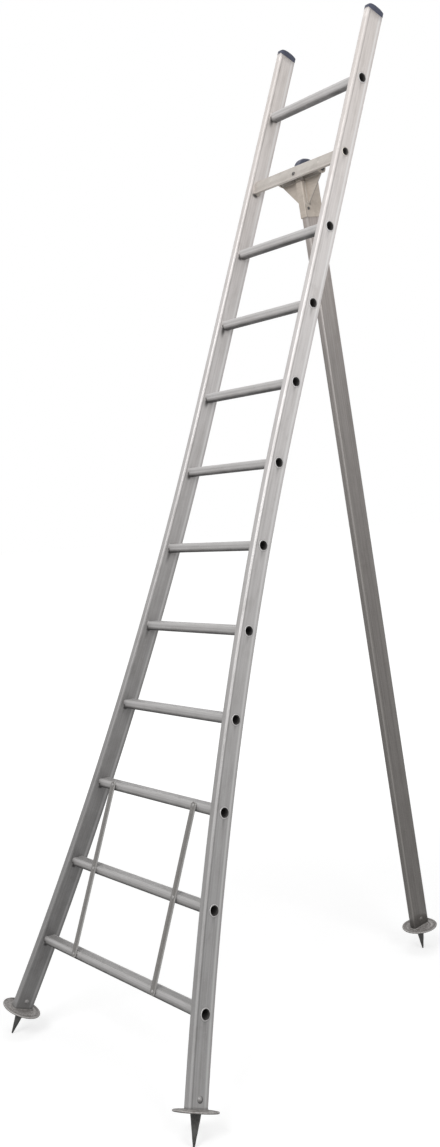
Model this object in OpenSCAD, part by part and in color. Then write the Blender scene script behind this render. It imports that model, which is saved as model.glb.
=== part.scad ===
// Aluminium tripod ladder for orchard work: two spreading stiles, level rungs and a hinged rear leg.
// The ladder is drawn upright (x across, -y to the front, z up the ladder) and then leaned back.

/* [Stiles] */
// Distance between the stile centre lines where they run parallel
stile_spacing = 409; // [340:1:520]
// Width of a stile across the ladder
stile_width = 25; // [22:0.5:32]
// Depth of a stile from front to back
stile_depth = 65; // [56:1:80]
// Wall thickness of the stiles
stile_wall = 2; // [1.5:0.1:3]
// Outer corner radius of the stile section
stile_corner = 7; // [5:0.5:9]
// Length of the stiles above the top rung
stile_above = 232; // [120:1:320]
// Height of the stile ends below the lowest rung
stile_below = 222; // [150:1:300]
// Height above the lowest rung where the stiles begin to spread
spread_start = 1702; // [1200:1:2000]
// Radius of the curve that spreads the stiles
spread_radius = 7856; // [6000:1:12000]
// Lean of the opened ladder from the vertical, in degrees
lean = 20.6; // [15:0.1:25]

/* [Rungs] */
// Number of cross members, the hinge beam included
rung_count = 12; // [10:1:13]
// Distance from one rung to the next
rung_pitch = 250; // [230:1:300]
// Depth of the level tread
rung_depth = 36; // [32:1:44]
// Height of a rung
rung_height = 28; // [28:0.5:34]
// Radius of the tread's upper corners
rung_corner = 6; // [4:0.5:10]
// Radius of a rung's lower corners
rung_under = 13; // [10:0.5:14]
// Wall thickness of a rung
rung_wall = 2; // [1.5:0.1:2.4]
// Thickness of the closed shoulder at a rung's end
rung_shoulder = 3; // [2:0.5:6]
// Outer diameter of the round rung ends that pass through the stiles
spigot_diameter = 27; // [22:0.5:27]
// Wall thickness of the round rung ends
spigot_wall = 2; // [1.5:0.1:3]
// Width by which the flared rim stands out round a rung end
flare_width = 3; // [2:0.5:5]
// Thickness of the flared rim
flare_thick = 1.6; // [1:0.1:3]
// Number of grooves along a tread
groove_count = 5; // [3:2:5]
// Distance between the grooves
groove_pitch = 4.2; // [3:0.1:4.5]
// Width of a groove
groove_width = 1.6; // [1:0.1:2.2]
// Depth of a groove
groove_depth = 0.7; // [0.3:0.1:1]

/* [Braces] */
// Distance between the centre lines of the two braces
brace_spacing = 402; // [300:1:440]
// Width of a brace
brace_width = 20; // [16:1:28]
// Thickness of a brace
brace_thick = 4.5; // [3:0.5:6]
// Number of rungs that a brace joins, counted from the lowest
brace_rungs = 3; // [2:1:4]
// Shank diameter of the brace rivets
brace_rivet = 5; // [4:0.5:6]

/* [Hinge beam] */
// Position of the hinge beam, counted in rungs from the top
beam_rung = 2; // [2:1:3]
// Height of the beam's front face
beam_height = 44; // [40:1:56]
// Depth of the beam's lips
beam_depth = 9.5; // [8:0.5:11]
// Thickness of the beam's web and lips
beam_web = 3; // [2.5:0.1:3.5]
// Distance of the beam's front face ahead of the stile centre plane
beam_front = 14.5; // [14.3:0.1:18]
// Distance of the beam's middle below the rung line
beam_drop = 13.5; // [12:0.5:15]
// Thickness of the end cheeks
cheek_thick = 5; // [4:0.5:8]
// Reach of the end cheeks behind the stile centre plane
cheek_back = 10; // [9:0.5:16]
// Outer diameter of the beam's tie ends
tie_diameter = 22; // [20:0.5:23]
// Wall thickness of the tie ends
tie_wall = 1.8; // [1.5:0.1:3]
// Distance of the tie ends below the rung line
tie_drop = 3; // [2:0.5:6]
// Distance of the tie ends ahead of the stile centre plane
tie_front = 3; // [1:0.5:3]

/* [Hinge] */
// Distance of the hinge pin below the rung line
pin_drop = 10; // [9:0.5:12]
// Distance of the hinge pin behind the stile centre plane
pin_back = 19.5; // [19:0.5:24]
// Diameter of the hinge pin
pin_diameter = 12; // [10:0.5:14]
// Diameter of the pin's head
pin_head = 18; // [16:1:22]
// Thickness of the pin's head
pin_head_thick = 6; // [4:0.5:8]
// Width across the corners of the pin's nut
nut_width = 21; // [19:0.5:24]
// Thickness of the pin's nut
nut_thick = 8; // [6:0.5:10]
// Outer diameter of the barrel
barrel_diameter = 28; // [27:0.5:30]
// Length of the barrel
barrel_length = 176; // [140:1:200]
// Outer diameter of the bushes
bush_diameter = 20; // [18:0.5:22]
// Length of a bush inside the barrel
bush_length = 26; // [16:1:40]
// Diameter of a bush flange
bush_flange = 25; // [24:0.5:27]
// Thickness of a bush flange
bush_flange_thick = 2; // [1:0.5:3]
// Thickness of a lug's ear
lug_thick = 5; // [4:0.5:8]
// Radius of a lug's ear round the pin
lug_radius = 14.5; // [13:0.5:14.5]
// Length of a lug's foot along the beam
lug_foot = 32; // [24:1:40]
// Thickness of a lug's foot
lug_foot_thick = 4; // [3:0.5:5]
// Shank diameter of the lug rivets
lug_rivet = 7; // [5:0.5:8]
// Thickness of the gusset plates
gusset_thick = 5; // [4:0.5:8]
// Distance of a gusset's lower end below the pin
gusset_drop = 93; // [60:1:110]
// Distance of a gusset's outer corner below the pin
gusset_corner = 16.5; // [16:0.5:24]
// Width of the stop pad
pad_width = 20; // [16:1:24]
// Shank diameter of the stop bolt
stop_bolt_diameter = 8; // [6:0.5:10]
// Distance of the stop bolt below the rung line
stop_bolt_drop = 19.4; // [18:0.1:22]

/* [Support leg] */
// Angle between the ladder and the opened leg, in degrees
open_angle = 27.9; // [26:0.1:30]
// Width of the leg across the ladder
leg_width = 25; // [22:0.5:32]
// Depth of the leg from front to back
leg_depth = 73; // [60:0.5:90]
// Wall thickness of the leg
leg_wall = 2; // [1.5:0.1:2.5]
// Outer corner radius of the leg section
leg_corner = 7; // [5:0.5:9]
// Length of the leg tube above the pin
leg_above = 28; // [26:0.5:28]
// Distance of the pin behind the leg's front face
pin_inset = 17.5; // [17:0.1:18]
// Distance of the sleeve's top below the pin
sleeve_top = 17; // [16:0.5:30]
// Distance of the sleeve's lower end below the pin
sleeve_bottom = 131; // [115:1:160]
// Wall thickness of the sleeve
sleeve_wall = 2; // [1.5:0.1:3]
// Outer corner radius of the sleeve
sleeve_corner = 4; // [3.5:0.5:6]
// Distance of the sleeve's front tongue below the pin
tongue_top = 6; // [5:0.5:12]
// Shank diameter of the sleeve bolt
sleeve_bolt_diameter = 6; // [5:0.5:8]
// Distance of the sleeve bolt below the pin
sleeve_bolt_drop = 104; // [95:1:110]
// Distance of the sleeve bolt behind the leg's front face
sleeve_bolt_inset = 11.5; // [11.5:0.5:20]

/* [Feet] */
// Diameter of a foot plate over its rim
plate_diameter = 120; // [100:1:150]
// Thickness of a foot plate
plate_thick = 3; // [2:0.5:4]
// Radius of the rolled rim
rim_radius = 2.5; // [2.2:0.1:4]
// Length of a spike below its plate
spike_length = 82; // [60:1:110]
// Diameter of a spike at its plate
spike_diameter = 26; // [20:0.5:30]
// Radius of a spike's tip
tip_radius = 2.5; // [1.5:0.1:4]
// Diameter of a spike's stud
stud_diameter = 12; // [8:0.5:14]
// Length of the stud inside the plug
stud_length = 18; // [12:1:20]
// Length of a foot plug
plug_length = 50; // [44:1:60]
// Shank diameter of the foot rivets
foot_rivet = 6; // [4:0.5:8]
// Height of the foot rivets above the tube's end
foot_rivet_height = 27; // [26:1:36]

/* [Caps] */
// Height of a stile cap above the tube
stile_cap_height = 17; // [14:0.5:24]
// Radius of a stile cap's upper edges
stile_cap_round = 4; // [2:0.5:8]
// Radius of the curve over a stile cap from front to back
stile_cap_crown = 70; // [70:1:120]
// Length of a stile cap's plug
stile_cap_plug = 25; // [15:1:40]
// Height of the leg cap above the tube
leg_cap_height = 27; // [26:0.5:32]
// Radius of the leg cap's dome from front to back
leg_cap_dome = 25; // [18:0.5:25]
// Radius of the leg cap's side edges
leg_cap_round = 8; // [5:0.5:10]
// Length of the leg cap's plug
leg_cap_plug = 11; // [8:0.5:12]

/* [Fits] */
// Gap between pieces that are seated on each other
seat_gap = 0.1; // [0.05:0.01:0.2]
// Radial clearance of the pin in its bushes and lugs
pin_clearance = 0.05; // [0.02:0.01:0.1]
// Side gap between the leg's hinge and the lugs, and between the leg and its stop
run_gap = 0.3; // [0.2:0.05:0.5]
// Gap round the plugs inside the tubes
plug_gap = 0.3; // [0.25:0.05:0.5]

/* [Hidden] */
corner_facets = 48;
$fn = corner_facets;
// Steps in a full turn, for corners and for the wide curve of the stiles
curve_facets = 1440;
// Overlap by which cuts and joined forms run into each other
cut_over = 0.5;
aluminium = [0.78, 0.78, 0.79];
plate_grey = [0.6, 0.6, 0.6];
steel = [0.2, 0.2, 0.21];
cap_blue = [0.2, 0.21, 0.29];
nylon = [0.16, 0.16, 0.17];

// Rungs that are stepped on, and the two sides
sides = [-1, 1];
step_rungs = [for (i = [1 : rung_count]) if (i != beam_rung) i];
function side_name(side) = side < 0 ? "left" : "right";
function rung_name(i) = str("rung_", i < 10 ? "0" : "", i);

// Heights up the ladder, from the lowest rung
function rung_z(i) = (rung_count - i) * rung_pitch;
stile_top_z = rung_z(1) + stile_above;
beam_line = rung_z(beam_rung);
beam_z = beam_line - beam_drop;
pin_z = beam_line - pin_drop;

// Line of the right stile: straight above, one arc below
half_spacing = stile_spacing / 2;
function slope_at(z) = z >= spread_start ? 0 : asin((spread_start - z) / spread_radius);
function stile_x(z) = half_spacing + spread_radius * (1 - cos(slope_at(z)));
end_slope = slope_at(-stile_below);

// Front of the level rungs, measured square to the ladder
rung_front = (rung_depth / 2 - rung_corner) * cos(lean)
    + (rung_height / 2 - rung_corner) * sin(lean) + rung_corner;
brace_back = rung_front + seat_gap;
brace_front = brace_back + brace_thick;
rivet_tail = 9;
brace_rivet_end = rung_front - rung_wall - rivet_tail;

// Heads of rivets and bolts: width as a share of the shank, share left at the top, height
rivet_share = 2;
rivet_narrowing = 0.6;
rivet_height = 2.2;
lug_rivet_share = 1.5;
lug_rivet_front = 1;
lug_rivet_rear = 2;
bolt_share = 1.65;
bolt_narrowing = 0.85;
bolt_height = 4;

// Hinge line across the ladder
barrel_half = barrel_length / 2;
ear_inner = barrel_half + bush_flange_thick + run_gap;
ear_outer = ear_inner + lug_thick;
web_back = beam_front - beam_web;
beam_inside_top = beam_z + beam_height / 2 - beam_web - seat_gap;
beam_inside_bottom = beam_z - beam_height / 2 + beam_web + seat_gap;
sleeve_half = leg_width / 2 + seat_gap + sleeve_wall;
notch_margin = 6;
lip_notch = sleeve_half + notch_margin;
stop_bolt_z = beam_line - stop_bolt_drop;
thread_end = 2;

// Leg's centre line behind the pin, and the sleeve bolt's line beside it
leg_offset = leg_depth / 2 - pin_inset;
sleeve_bolt_y = sleeve_bolt_inset - pin_inset;

// Front face of the opened leg, seen from the side of the upright ladder
pad_face = pin_inset + run_gap;
pad_near = 0.5;
pad_bolt_inset = 1;
function pad_y(t) = pin_back - pad_face * cos(open_angle) - t * sin(open_angle);
function pad_z(t) = pin_z - pad_face * sin(open_angle) + t * cos(open_angle);
pad_low = (pin_back - pad_face * cos(open_angle) + pad_near) / sin(open_angle);
pad_high = (beam_inside_top - pin_z + pad_face * sin(open_angle)) / cos(open_angle);

// Feet, from the end of a tube down to the middle of the spike's round tip
plate_top = seat_gap;
spike_top = plate_top + plate_thick + seat_gap;
tip_reach = spike_top + spike_length - tip_radius;
plate_mid = plate_top + plate_thick / 2;
ring_radius = plate_diameter / 2 - rim_radius;

// Placing: the spike tips stand at height 0 and the outer box is centred over the origin
leg_tilt = open_angle - lean;
lift = tip_radius + (stile_below + tip_reach * cos(end_slope)) * cos(lean);
hinge_height = pin_z * cos(lean) - pin_back * sin(lean) + lift;
leg_below = (hinge_height + leg_offset * sin(leg_tilt) - tip_radius) / cos(leg_tilt) - tip_reach;
hinge_reach = pin_z * sin(lean) + pin_back * cos(lean);
front_edge = -(stile_below + plate_mid * cos(end_slope)) * sin(lean)
    - ring_radius * sqrt(1 - pow(cos(end_slope) * sin(lean), 2)) - rim_radius;
rear_edge = hinge_reach + leg_offset * cos(leg_tilt) + (leg_below + plate_mid) * sin(leg_tilt)
    + ring_radius * cos(leg_tilt) + rim_radius;
shift = -(front_edge + rear_edge) / 2;

// Leans the upright ladder back onto its feet
module on_ladder() {
    translate([0, shift, lift]) rotate([-lean, 0, 0]) children();
}

// Sets the leg, drawn upright with the pin at the origin, at its open angle
module on_leg() {
    translate([0, hinge_reach + shift, hinge_height]) rotate([leg_tilt, 0, 0]) children();
}

// Draws on the right or mirrors to the left
module on_side(side) {
    if (side < 0) mirror([1, 0, 0]) children();
    else children();
}

// Origin on a stile's centre line at a height, with x square to its outer face
module at_stile(z, side) {
    on_side(side) translate([stile_x(z), 0, z]) rotate([0, -slope_at(z), 0]) children();
}

// Block that takes away all that lies further out than a distance from the stile's centre line
module past_stile(z, side, distance) {
    block = 4 * stile_depth;
    at_stile(z, side) translate([distance, -block / 2, -block / 2]) cube(block);
}

// Rectangle with round corners
module rounded(width, depth, corner) {
    square([width, depth - 2 * corner], center = true);
    square([width - 2 * corner, depth], center = true);
    for (x = sides, y = sides) {
        translate([x * (width / 2 - corner), y * (depth / 2 - corner)]) circle(corner);
    }
}

// Box-section tube wall
module tube_section(width, depth, corner, wall) {
    difference() {
        rounded(width, depth, corner);
        rounded(width - 2 * wall, depth - 2 * wall, corner - wall);
    }
}

// Outline that stands on its base and has round upper corners
module arch(width, height, corner) {
    translate([-width / 2, 0]) square([width, height - corner]);
    translate([-width / 2 + corner, 0]) square([width - 2 * corner, height]);
    for (x = sides) {
        translate([x * (width / 2 - corner), height - corner]) circle(corner);
    }
}

// Runs a side-view outline (y, z) along x
module along_x(length) {
    rotate([90, 0, 90]) linear_extrude(length, center = true) children();
}

// Runs a front-view outline (x, z) from the y = 0 plane to the front
module to_front(length) {
    rotate([90, 0, 0]) linear_extrude(length) children();
}

// Round bar along x
module bar_x(diameter, length) {
    rotate([0, 90, 0]) cylinder(d = diameter, h = length, center = true);
}

// Round bar from the y = 0 plane to the front
module bar_front(diameter, length) {
    rotate([90, 0, 0]) cylinder(d = diameter, h = length);
}

// Low rivet head that narrows to its top, standing on the z = 0 plane
module rivet_dome(diameter, height) {
    cylinder(d1 = diameter, d2 = rivet_narrowing * diameter, h = height);
}

// Bolt head with a slight taper, standing on the z = 0 plane
module bolt_dome(diameter, height) {
    cylinder(d1 = diameter, d2 = bolt_narrowing * diameter, h = height);
}

module stile(side) {
    color(aluminium) on_ladder() on_side(side) difference() {
        union() {
            translate([half_spacing, 0, spread_start])
                linear_extrude(stile_top_z - spread_start)
                tube_section(stile_width, stile_depth, stile_corner, stile_wall);
            translate([half_spacing + spread_radius, 0, spread_start])
                rotate([90, 0, 0]) rotate([0, 0, 180])
                rotate_extrude(angle = end_slope, $fn = curve_facets)
                translate([spread_radius, 0])
                tube_section(stile_width, stile_depth, stile_corner, stile_wall, $fn = corner_facets);
        }
        for (i = step_rungs) {
            translate([stile_x(rung_z(i)), 0, rung_z(i)])
                bar_x(spigot_diameter + 2 * seat_gap, 3 * stile_width);
        }
        translate([stile_x(beam_line - tie_drop), -tie_front, beam_line - tie_drop])
            bar_x(tie_diameter + 2 * seat_gap, 3 * stile_width);
        at_stile(-stile_below, 1) translate([0, 0, foot_rivet_height])
            bar_x(foot_rivet + 2 * seat_gap, 3 * stile_width);
    }
}

// Round tube end that passes through a stile, with the flared rim outside
module through_end(z, side, diameter) {
    outside = stile_width / 2 + seat_gap;
    difference() {
        on_side(side) translate([stile_x(z), 0, z]) bar_x(diameter, 2 * (stile_width + rung_shoulder));
        past_stile(z, side, outside + flare_thick);
    }
    at_stile(z, side)
        translate([outside, 0, -outside * tan(slope_at(z))])
        rotate([0, 90, 0])
        cylinder(d1 = diameter + 2 * flare_width, d2 = diameter + flare_width, h = flare_thick);
}

// Level rung outline, flat on top and round below, drawn in by a wall
module rung_section(inset) {
    half = rung_depth / 2 - inset;
    top = rung_height / 2 - inset;
    upper = rung_corner - inset;
    lower = rung_under - inset;
    translate([-half, lower - top]) square([2 * half, 2 * top - upper - lower]);
    translate([upper - half, 0]) square([2 * (half - upper), top]);
    translate([lower - half, -top]) square([2 * (half - lower), top]);
    for (x = sides) {
        translate([x * (half - upper), top - upper]) circle(upper);
        translate([x * (half - lower), lower - top]) circle(lower);
    }
}

// Grooves along the tread
module tread_grooves() {
    for (k = [0 : groove_count - 1]) {
        translate([(k - (groove_count - 1) / 2) * groove_pitch, rung_height / 2])
            square([groove_width, 2 * groove_depth], center = true);
    }
}

module rung(i) {
    z = rung_z(i);
    inner_face = -stile_width / 2 - seat_gap;
    length = 2 * (stile_x(z) + stile_width);
    braced = i > rung_count - brace_rungs;
    color(aluminium) on_ladder() difference() {
        union() {
            difference() {
                translate([0, 0, z]) rotate([lean, 0, 0]) along_x(length) difference() {
                    rung_section(0);
                    tread_grooves();
                }
                for (side = sides) past_stile(z, side, inner_face);
            }
            for (side = sides) through_end(z, side, spigot_diameter);
        }
        difference() {
            translate([0, 0, z]) rotate([lean, 0, 0]) along_x(length) rung_section(rung_wall);
            for (side = sides) past_stile(z, side, inner_face - rung_shoulder);
        }
        translate([0, 0, z]) bar_x(spigot_diameter - 2 * spigot_wall, 2 * length);
        if (braced) {
            for (side = sides) {
                translate([side * brace_spacing / 2, -brace_rivet_end, z])
                    bar_front(brace_rivet + 2 * seat_gap, brace_front);
            }
        }
    }
}

module hinge_beam() {
    tie_z = beam_line - tie_drop;
    clear_width = 2 * (stile_x(tie_z) - stile_width / 2 - seat_gap);
    color(aluminium) on_ladder() difference() {
        union() {
            translate([0, 0, beam_z]) along_x(clear_width) {
                translate([-beam_front, -beam_height / 2]) square([beam_web, beam_height]);
                for (lip = [-beam_height / 2, beam_height / 2 - beam_web]) {
                    translate([-beam_front, lip]) square([beam_depth, beam_web]);
                }
            }
            for (side = sides) {
                translate([side * (clear_width - cheek_thick) / 2, 0, beam_z])
                    along_x(cheek_thick)
                    translate([-beam_front, -beam_height / 2])
                    square([beam_front + cheek_back, beam_height]);
                difference() {
                    translate([0, -tie_front, 0]) through_end(tie_z, side, tie_diameter);
                    on_side(side) translate([0, -stile_depth, beam_z - beam_height])
                        cube([clear_width / 2 - cheek_thick, 2 * stile_depth, 2 * beam_height]);
                }
            }
        }
        for (side = sides) {
            on_side(side) translate([clear_width / 2 - cheek_thick - cut_over, -tie_front, tie_z])
                rotate([0, 90, 0]) cylinder(d = tie_diameter - 2 * tie_wall, h = 3 * stile_width);
            on_side(side) translate([ear_outer + lug_foot / 2, 0, beam_z])
                bar_front(lug_rivet + 2 * seat_gap, 2 * beam_front);
        }
        translate([0, 0, stop_bolt_z])
            bar_front(stop_bolt_diameter + 2 * seat_gap, 2 * beam_front);
        translate([-lip_notch, -web_back, beam_z + beam_height / 2 - beam_web - cut_over])
            cube([2 * lip_notch, beam_depth, 2 * beam_web]);
    }
}

module brace(side) {
    length = (brace_rungs - 1) * rung_pitch;
    color(aluminium) on_ladder()
        translate([side * brace_spacing / 2, -brace_back, 0])
        to_front(brace_thick) difference() {
            union() {
                translate([-brace_width / 2, 0]) square([brace_width, length]);
                for (z = [0, length]) translate([0, z]) circle(d = brace_width);
            }
            for (k = [0 : brace_rungs - 1]) {
                translate([0, k * rung_pitch]) circle(d = brace_rivet + 2 * seat_gap);
            }
        }
}

module brace_rivets() {
    color(aluminium) on_ladder()
        for (side = sides, k = [0 : brace_rungs - 1]) {
            translate([side * brace_spacing / 2, 0, k * rung_pitch]) {
                translate([0, -brace_rivet_end, 0])
                    bar_front(brace_rivet, brace_front - brace_rivet_end + seat_gap);
                translate([0, -brace_front - seat_gap, 0]) rotate([90, 0, 0])
                    rivet_dome(rivet_share * brace_rivet, rivet_height);
            }
        }
}

// Moulded cap with a plug that goes into the tube
module tube_cap(width, depth, corner, wall, height, dome, round, plug) {
    gap = wall + plug_gap;
    translate([0, 0, seat_gap]) intersection() {
        linear_extrude(height) rounded(width, depth, corner);
        along_x(2 * width) arch(depth, height, dome);
        rotate([90, 0, 0]) linear_extrude(2 * depth, center = true) arch(width, height, round);
    }
    translate([0, 0, -plug]) linear_extrude(plug + seat_gap + cut_over)
        rounded(width - 2 * gap, depth - 2 * gap, corner - gap);
}

module stile_cap(side) {
    color(cap_blue) on_ladder() at_stile(stile_top_z, side) intersection() {
        tube_cap(stile_width, stile_depth, stile_corner, stile_wall, stile_cap_height,
            stile_cap_round, stile_cap_round, stile_cap_plug);
        translate([0, 0, seat_gap + stile_cap_height - stile_cap_crown])
            bar_x(2 * stile_cap_crown, 2 * stile_width);
    }
}

// Foot pieces, drawn with the end of the tube at z = 0
module foot_plug(width, depth, corner, wall) {
    gap = wall + plug_gap;
    difference() {
        linear_extrude(plug_length) rounded(width - 2 * gap, depth - 2 * gap, corner - gap);
        translate([0, 0, -seat_gap])
            cylinder(d = stud_diameter + 2 * seat_gap, h = stud_length + 2 * seat_gap);
        translate([0, 0, foot_rivet_height]) bar_x(foot_rivet + 2 * seat_gap, 2 * width);
    }
}

module foot_plate() {
    difference() {
        union() {
            translate([0, 0, -plate_top - plate_thick]) cylinder(r = ring_radius, h = plate_thick);
            translate([0, 0, -plate_mid]) rotate_extrude() translate([ring_radius, 0]) circle(rim_radius);
        }
        translate([0, 0, -2 * plate_thick]) cylinder(d = stud_diameter + 2 * seat_gap, h = 4 * plate_thick);
    }
}

module spike() {
    translate([0, 0, -tip_reach]) {
        sphere(tip_radius);
        cylinder(r1 = tip_radius, d2 = spike_diameter, h = tip_reach - spike_top);
    }
    translate([0, 0, -spike_top]) cylinder(d = stud_diameter, h = spike_top + stud_length);
}

module foot_rivet_at(width) {
    translate([0, 0, foot_rivet_height]) {
        bar_x(foot_rivet, width + 2 * seat_gap);
        for (side = sides) {
            on_side(side) translate([width / 2 + seat_gap, 0, 0]) rotate([0, 90, 0])
                rivet_dome(rivet_share * foot_rivet, rivet_height);
        }
    }
}

module stile_foot_plug(side) {
    color(nylon) on_ladder() at_stile(-stile_below, side)
        foot_plug(stile_width, stile_depth, stile_corner, stile_wall);
}

module stile_foot_plate(side) {
    color(plate_grey) on_ladder() at_stile(-stile_below, side) foot_plate();
}

module stile_spike(side) {
    color(steel) on_ladder() at_stile(-stile_below, side) spike();
}

module foot_rivets() {
    color(aluminium) on_ladder()
        for (side = sides) at_stile(-stile_below, side) foot_rivet_at(stile_width);
}

// Bracket behind the beam: an ear round the pin and a riveted foot
module hinge_lug(side) {
    color(aluminium) on_ladder() on_side(side) difference() {
        union() {
            translate([ear_inner + lug_thick / 2, 0, pin_z]) along_x(lug_thick) {
                translate([pin_back, 0]) circle(lug_radius);
                translate([-web_back + seat_gap, -lug_radius])
                    square([pin_back + web_back - seat_gap, 2 * lug_radius]);
            }
            translate([ear_inner, -web_back + seat_gap, pin_z - lug_radius])
                cube([lug_thick + lug_foot, lug_foot_thick, 2 * lug_radius]);
        }
        translate([ear_inner, pin_back, pin_z])
            bar_x(pin_diameter + 2 * pin_clearance, 4 * lug_thick);
        translate([ear_outer + lug_foot / 2, 0, beam_z])
            bar_front(lug_rivet + 2 * seat_gap, 2 * beam_front);
    }
}

module lug_rivets() {
    inner_end = web_back - seat_gap - lug_foot_thick - seat_gap;
    color(aluminium) on_ladder()
        for (side = sides) {
            on_side(side) translate([ear_outer + lug_foot / 2, 0, beam_z]) {
                translate([0, -inner_end, 0]) bar_front(lug_rivet, beam_front - inner_end + seat_gap);
                translate([0, -beam_front - seat_gap, 0]) rotate([90, 0, 0])
                    rivet_dome(lug_rivet_share * lug_rivet, lug_rivet_front);
                translate([0, -inner_end, 0]) rotate([-90, 0, 0])
                    rivet_dome(lug_rivet_share * lug_rivet, lug_rivet_rear);
            }
        }
}

// Wedge behind the beam on which the opened leg rests
module stop_pad() {
    color(nylon) on_ladder() difference() {
        along_x(pad_width) polygon([
            [-web_back + seat_gap, beam_inside_bottom],
            [-web_back + seat_gap, beam_inside_top],
            [pad_y(pad_high), beam_inside_top],
            [pad_y(pad_low), pad_z(pad_low)],
            [-pad_near, beam_inside_bottom]
        ]);
        translate([0, pin_back, stop_bolt_z])
            bar_front(stop_bolt_diameter + 2 * seat_gap, 2 * (pin_back + beam_front));
    }
}

module stop_bolt() {
    color(steel) on_ladder() translate([0, 0, stop_bolt_z]) {
        translate([0, -pad_near - pad_bolt_inset, 0])
            bar_front(stop_bolt_diameter, beam_front - pad_near - pad_bolt_inset + seat_gap);
        translate([0, -beam_front - seat_gap, 0]) rotate([90, 0, 0])
            bolt_dome(bolt_share * stop_bolt_diameter, bolt_height);
    }
}

module hinge_pin() {
    left_end = ear_outer + seat_gap + nut_thick + thread_end;
    color(steel) on_ladder() translate([0, pin_back, pin_z]) {
        translate([-left_end, 0, 0]) rotate([0, 90, 0])
            cylinder(d = pin_diameter, h = left_end + ear_outer + seat_gap);
        translate([ear_outer + seat_gap, 0, 0]) rotate([0, 90, 0])
            bolt_dome(pin_head, pin_head_thick);
    }
}

module hinge_nut() {
    color(steel) on_ladder()
        translate([-ear_outer - seat_gap - nut_thick / 2, pin_back, pin_z]) difference() {
            rotate([0, 90, 0]) cylinder(d = nut_width, h = nut_thick, center = true, $fn = 6);
            bar_x(pin_diameter + 2 * pin_clearance, 2 * nut_thick);
        }
}

module support_leg() {
    color(aluminium) on_leg() difference() {
        translate([0, leg_offset, -leg_below]) linear_extrude(leg_below + leg_above)
            tube_section(leg_width, leg_depth, leg_corner, leg_wall);
        bar_x(barrel_diameter + 2 * seat_gap, 2 * leg_width);
        translate([0, sleeve_bolt_y, -sleeve_bolt_drop])
            bar_x(sleeve_bolt_diameter + 2 * seat_gap, 2 * leg_width);
        translate([0, leg_offset, foot_rivet_height - leg_below])
            bar_x(foot_rivet + 2 * seat_gap, 2 * leg_width);
    }
}

module leg_cap() {
    color(cap_blue) on_leg() translate([0, leg_offset, leg_above])
        tube_cap(leg_width, leg_depth, leg_corner, leg_wall, leg_cap_height,
            leg_cap_dome, leg_cap_round, leg_cap_plug);
}

module hinge_barrel() {
    color(aluminium) on_leg() difference() {
        bar_x(barrel_diameter, barrel_length);
        bar_x(bush_diameter + 2 * pin_clearance, 2 * barrel_length);
    }
}

module bush(side) {
    color(nylon) on_leg() on_side(side) difference() {
        union() {
            translate([barrel_half - bush_length, 0, 0]) rotate([0, 90, 0])
                cylinder(d = bush_diameter, h = bush_length + bush_flange_thick);
            translate([barrel_half + seat_gap, 0, 0]) rotate([0, 90, 0])
                cylinder(d = bush_flange, h = bush_flange_thick - seat_gap);
        }
        bar_x(pin_diameter + 2 * pin_clearance, 2 * barrel_length);
    }
}

// Triangular plate under the barrel, beside the sleeve, with its rear face in line with the pin
module gusset(side) {
    inner = sleeve_half + seat_gap;
    top = -barrel_diameter / 2 - seat_gap;
    color(aluminium) on_leg() on_side(side) to_front(gusset_thick) polygon([
        [inner, top],
        [barrel_half, top],
        [barrel_half, -gusset_corner],
        [inner, -gusset_drop]
    ]);
}

// Folded sheet round the leg, its front wall carried up ahead of the barrel
module leg_sleeve() {
    tongue_half = sleeve_half - sleeve_corner;
    color(aluminium) on_leg() difference() {
        union() {
            translate([0, leg_offset, -sleeve_bottom]) linear_extrude(sleeve_bottom - sleeve_top)
                tube_section(2 * sleeve_half, leg_depth + 2 * (sleeve_half - leg_width / 2),
                    sleeve_corner, sleeve_wall);
            translate([-tongue_half, -pin_inset - seat_gap - sleeve_wall, -sleeve_top - sleeve_wall])
                cube([2 * tongue_half, sleeve_wall, sleeve_top + sleeve_wall - tongue_top]);
        }
        translate([0, sleeve_bolt_y, -sleeve_bolt_drop])
            bar_x(sleeve_bolt_diameter + 2 * seat_gap, 2 * leg_width);
    }
}

module sleeve_bolt() {
    color(steel) on_leg() translate([0, sleeve_bolt_y, -sleeve_bolt_drop]) {
        bar_x(sleeve_bolt_diameter, 2 * (sleeve_half + seat_gap));
        for (side = sides) {
            on_side(side) translate([sleeve_half + seat_gap, 0, 0]) rotate([0, 90, 0])
                bolt_dome(bolt_share * sleeve_bolt_diameter, bolt_height);
        }
    }
}

// Sets a foot piece at the lower end of the leg
module at_leg_end() {
    on_leg() translate([0, leg_offset, -leg_below]) children();
}

module leg_foot_plug() {
    color(nylon) at_leg_end() foot_plug(leg_width, leg_depth, leg_corner, leg_wall);
}

module leg_foot_plate() {
    color(plate_grey) at_leg_end() foot_plate();
}

module leg_spike() {
    color(steel) at_leg_end() spike();
}

module leg_foot_rivet() {
    color(aluminium) at_leg_end() foot_rivet_at(leg_width);
}

for (side = sides) {
    stile(side);
    brace(side);
    stile_cap(side);
    stile_foot_plug(side);
    stile_foot_plate(side);
    stile_spike(side);
    hinge_lug(side);
    bush(side);
    gusset(side);
}
for (i = step_rungs) {
    rung(i);
}
hinge_beam();
brace_rivets();
foot_rivets();
lug_rivets();
stop_pad();
stop_bolt();
hinge_pin();
hinge_nut();
support_leg();
leg_cap();
hinge_barrel();
leg_sleeve();
sleeve_bolt();
leg_foot_plug();
leg_foot_plate();
leg_spike();
leg_foot_rivet();
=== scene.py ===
import math

import bmesh
import bpy
import numpy as np
from mathutils import Matrix, Vector


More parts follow.
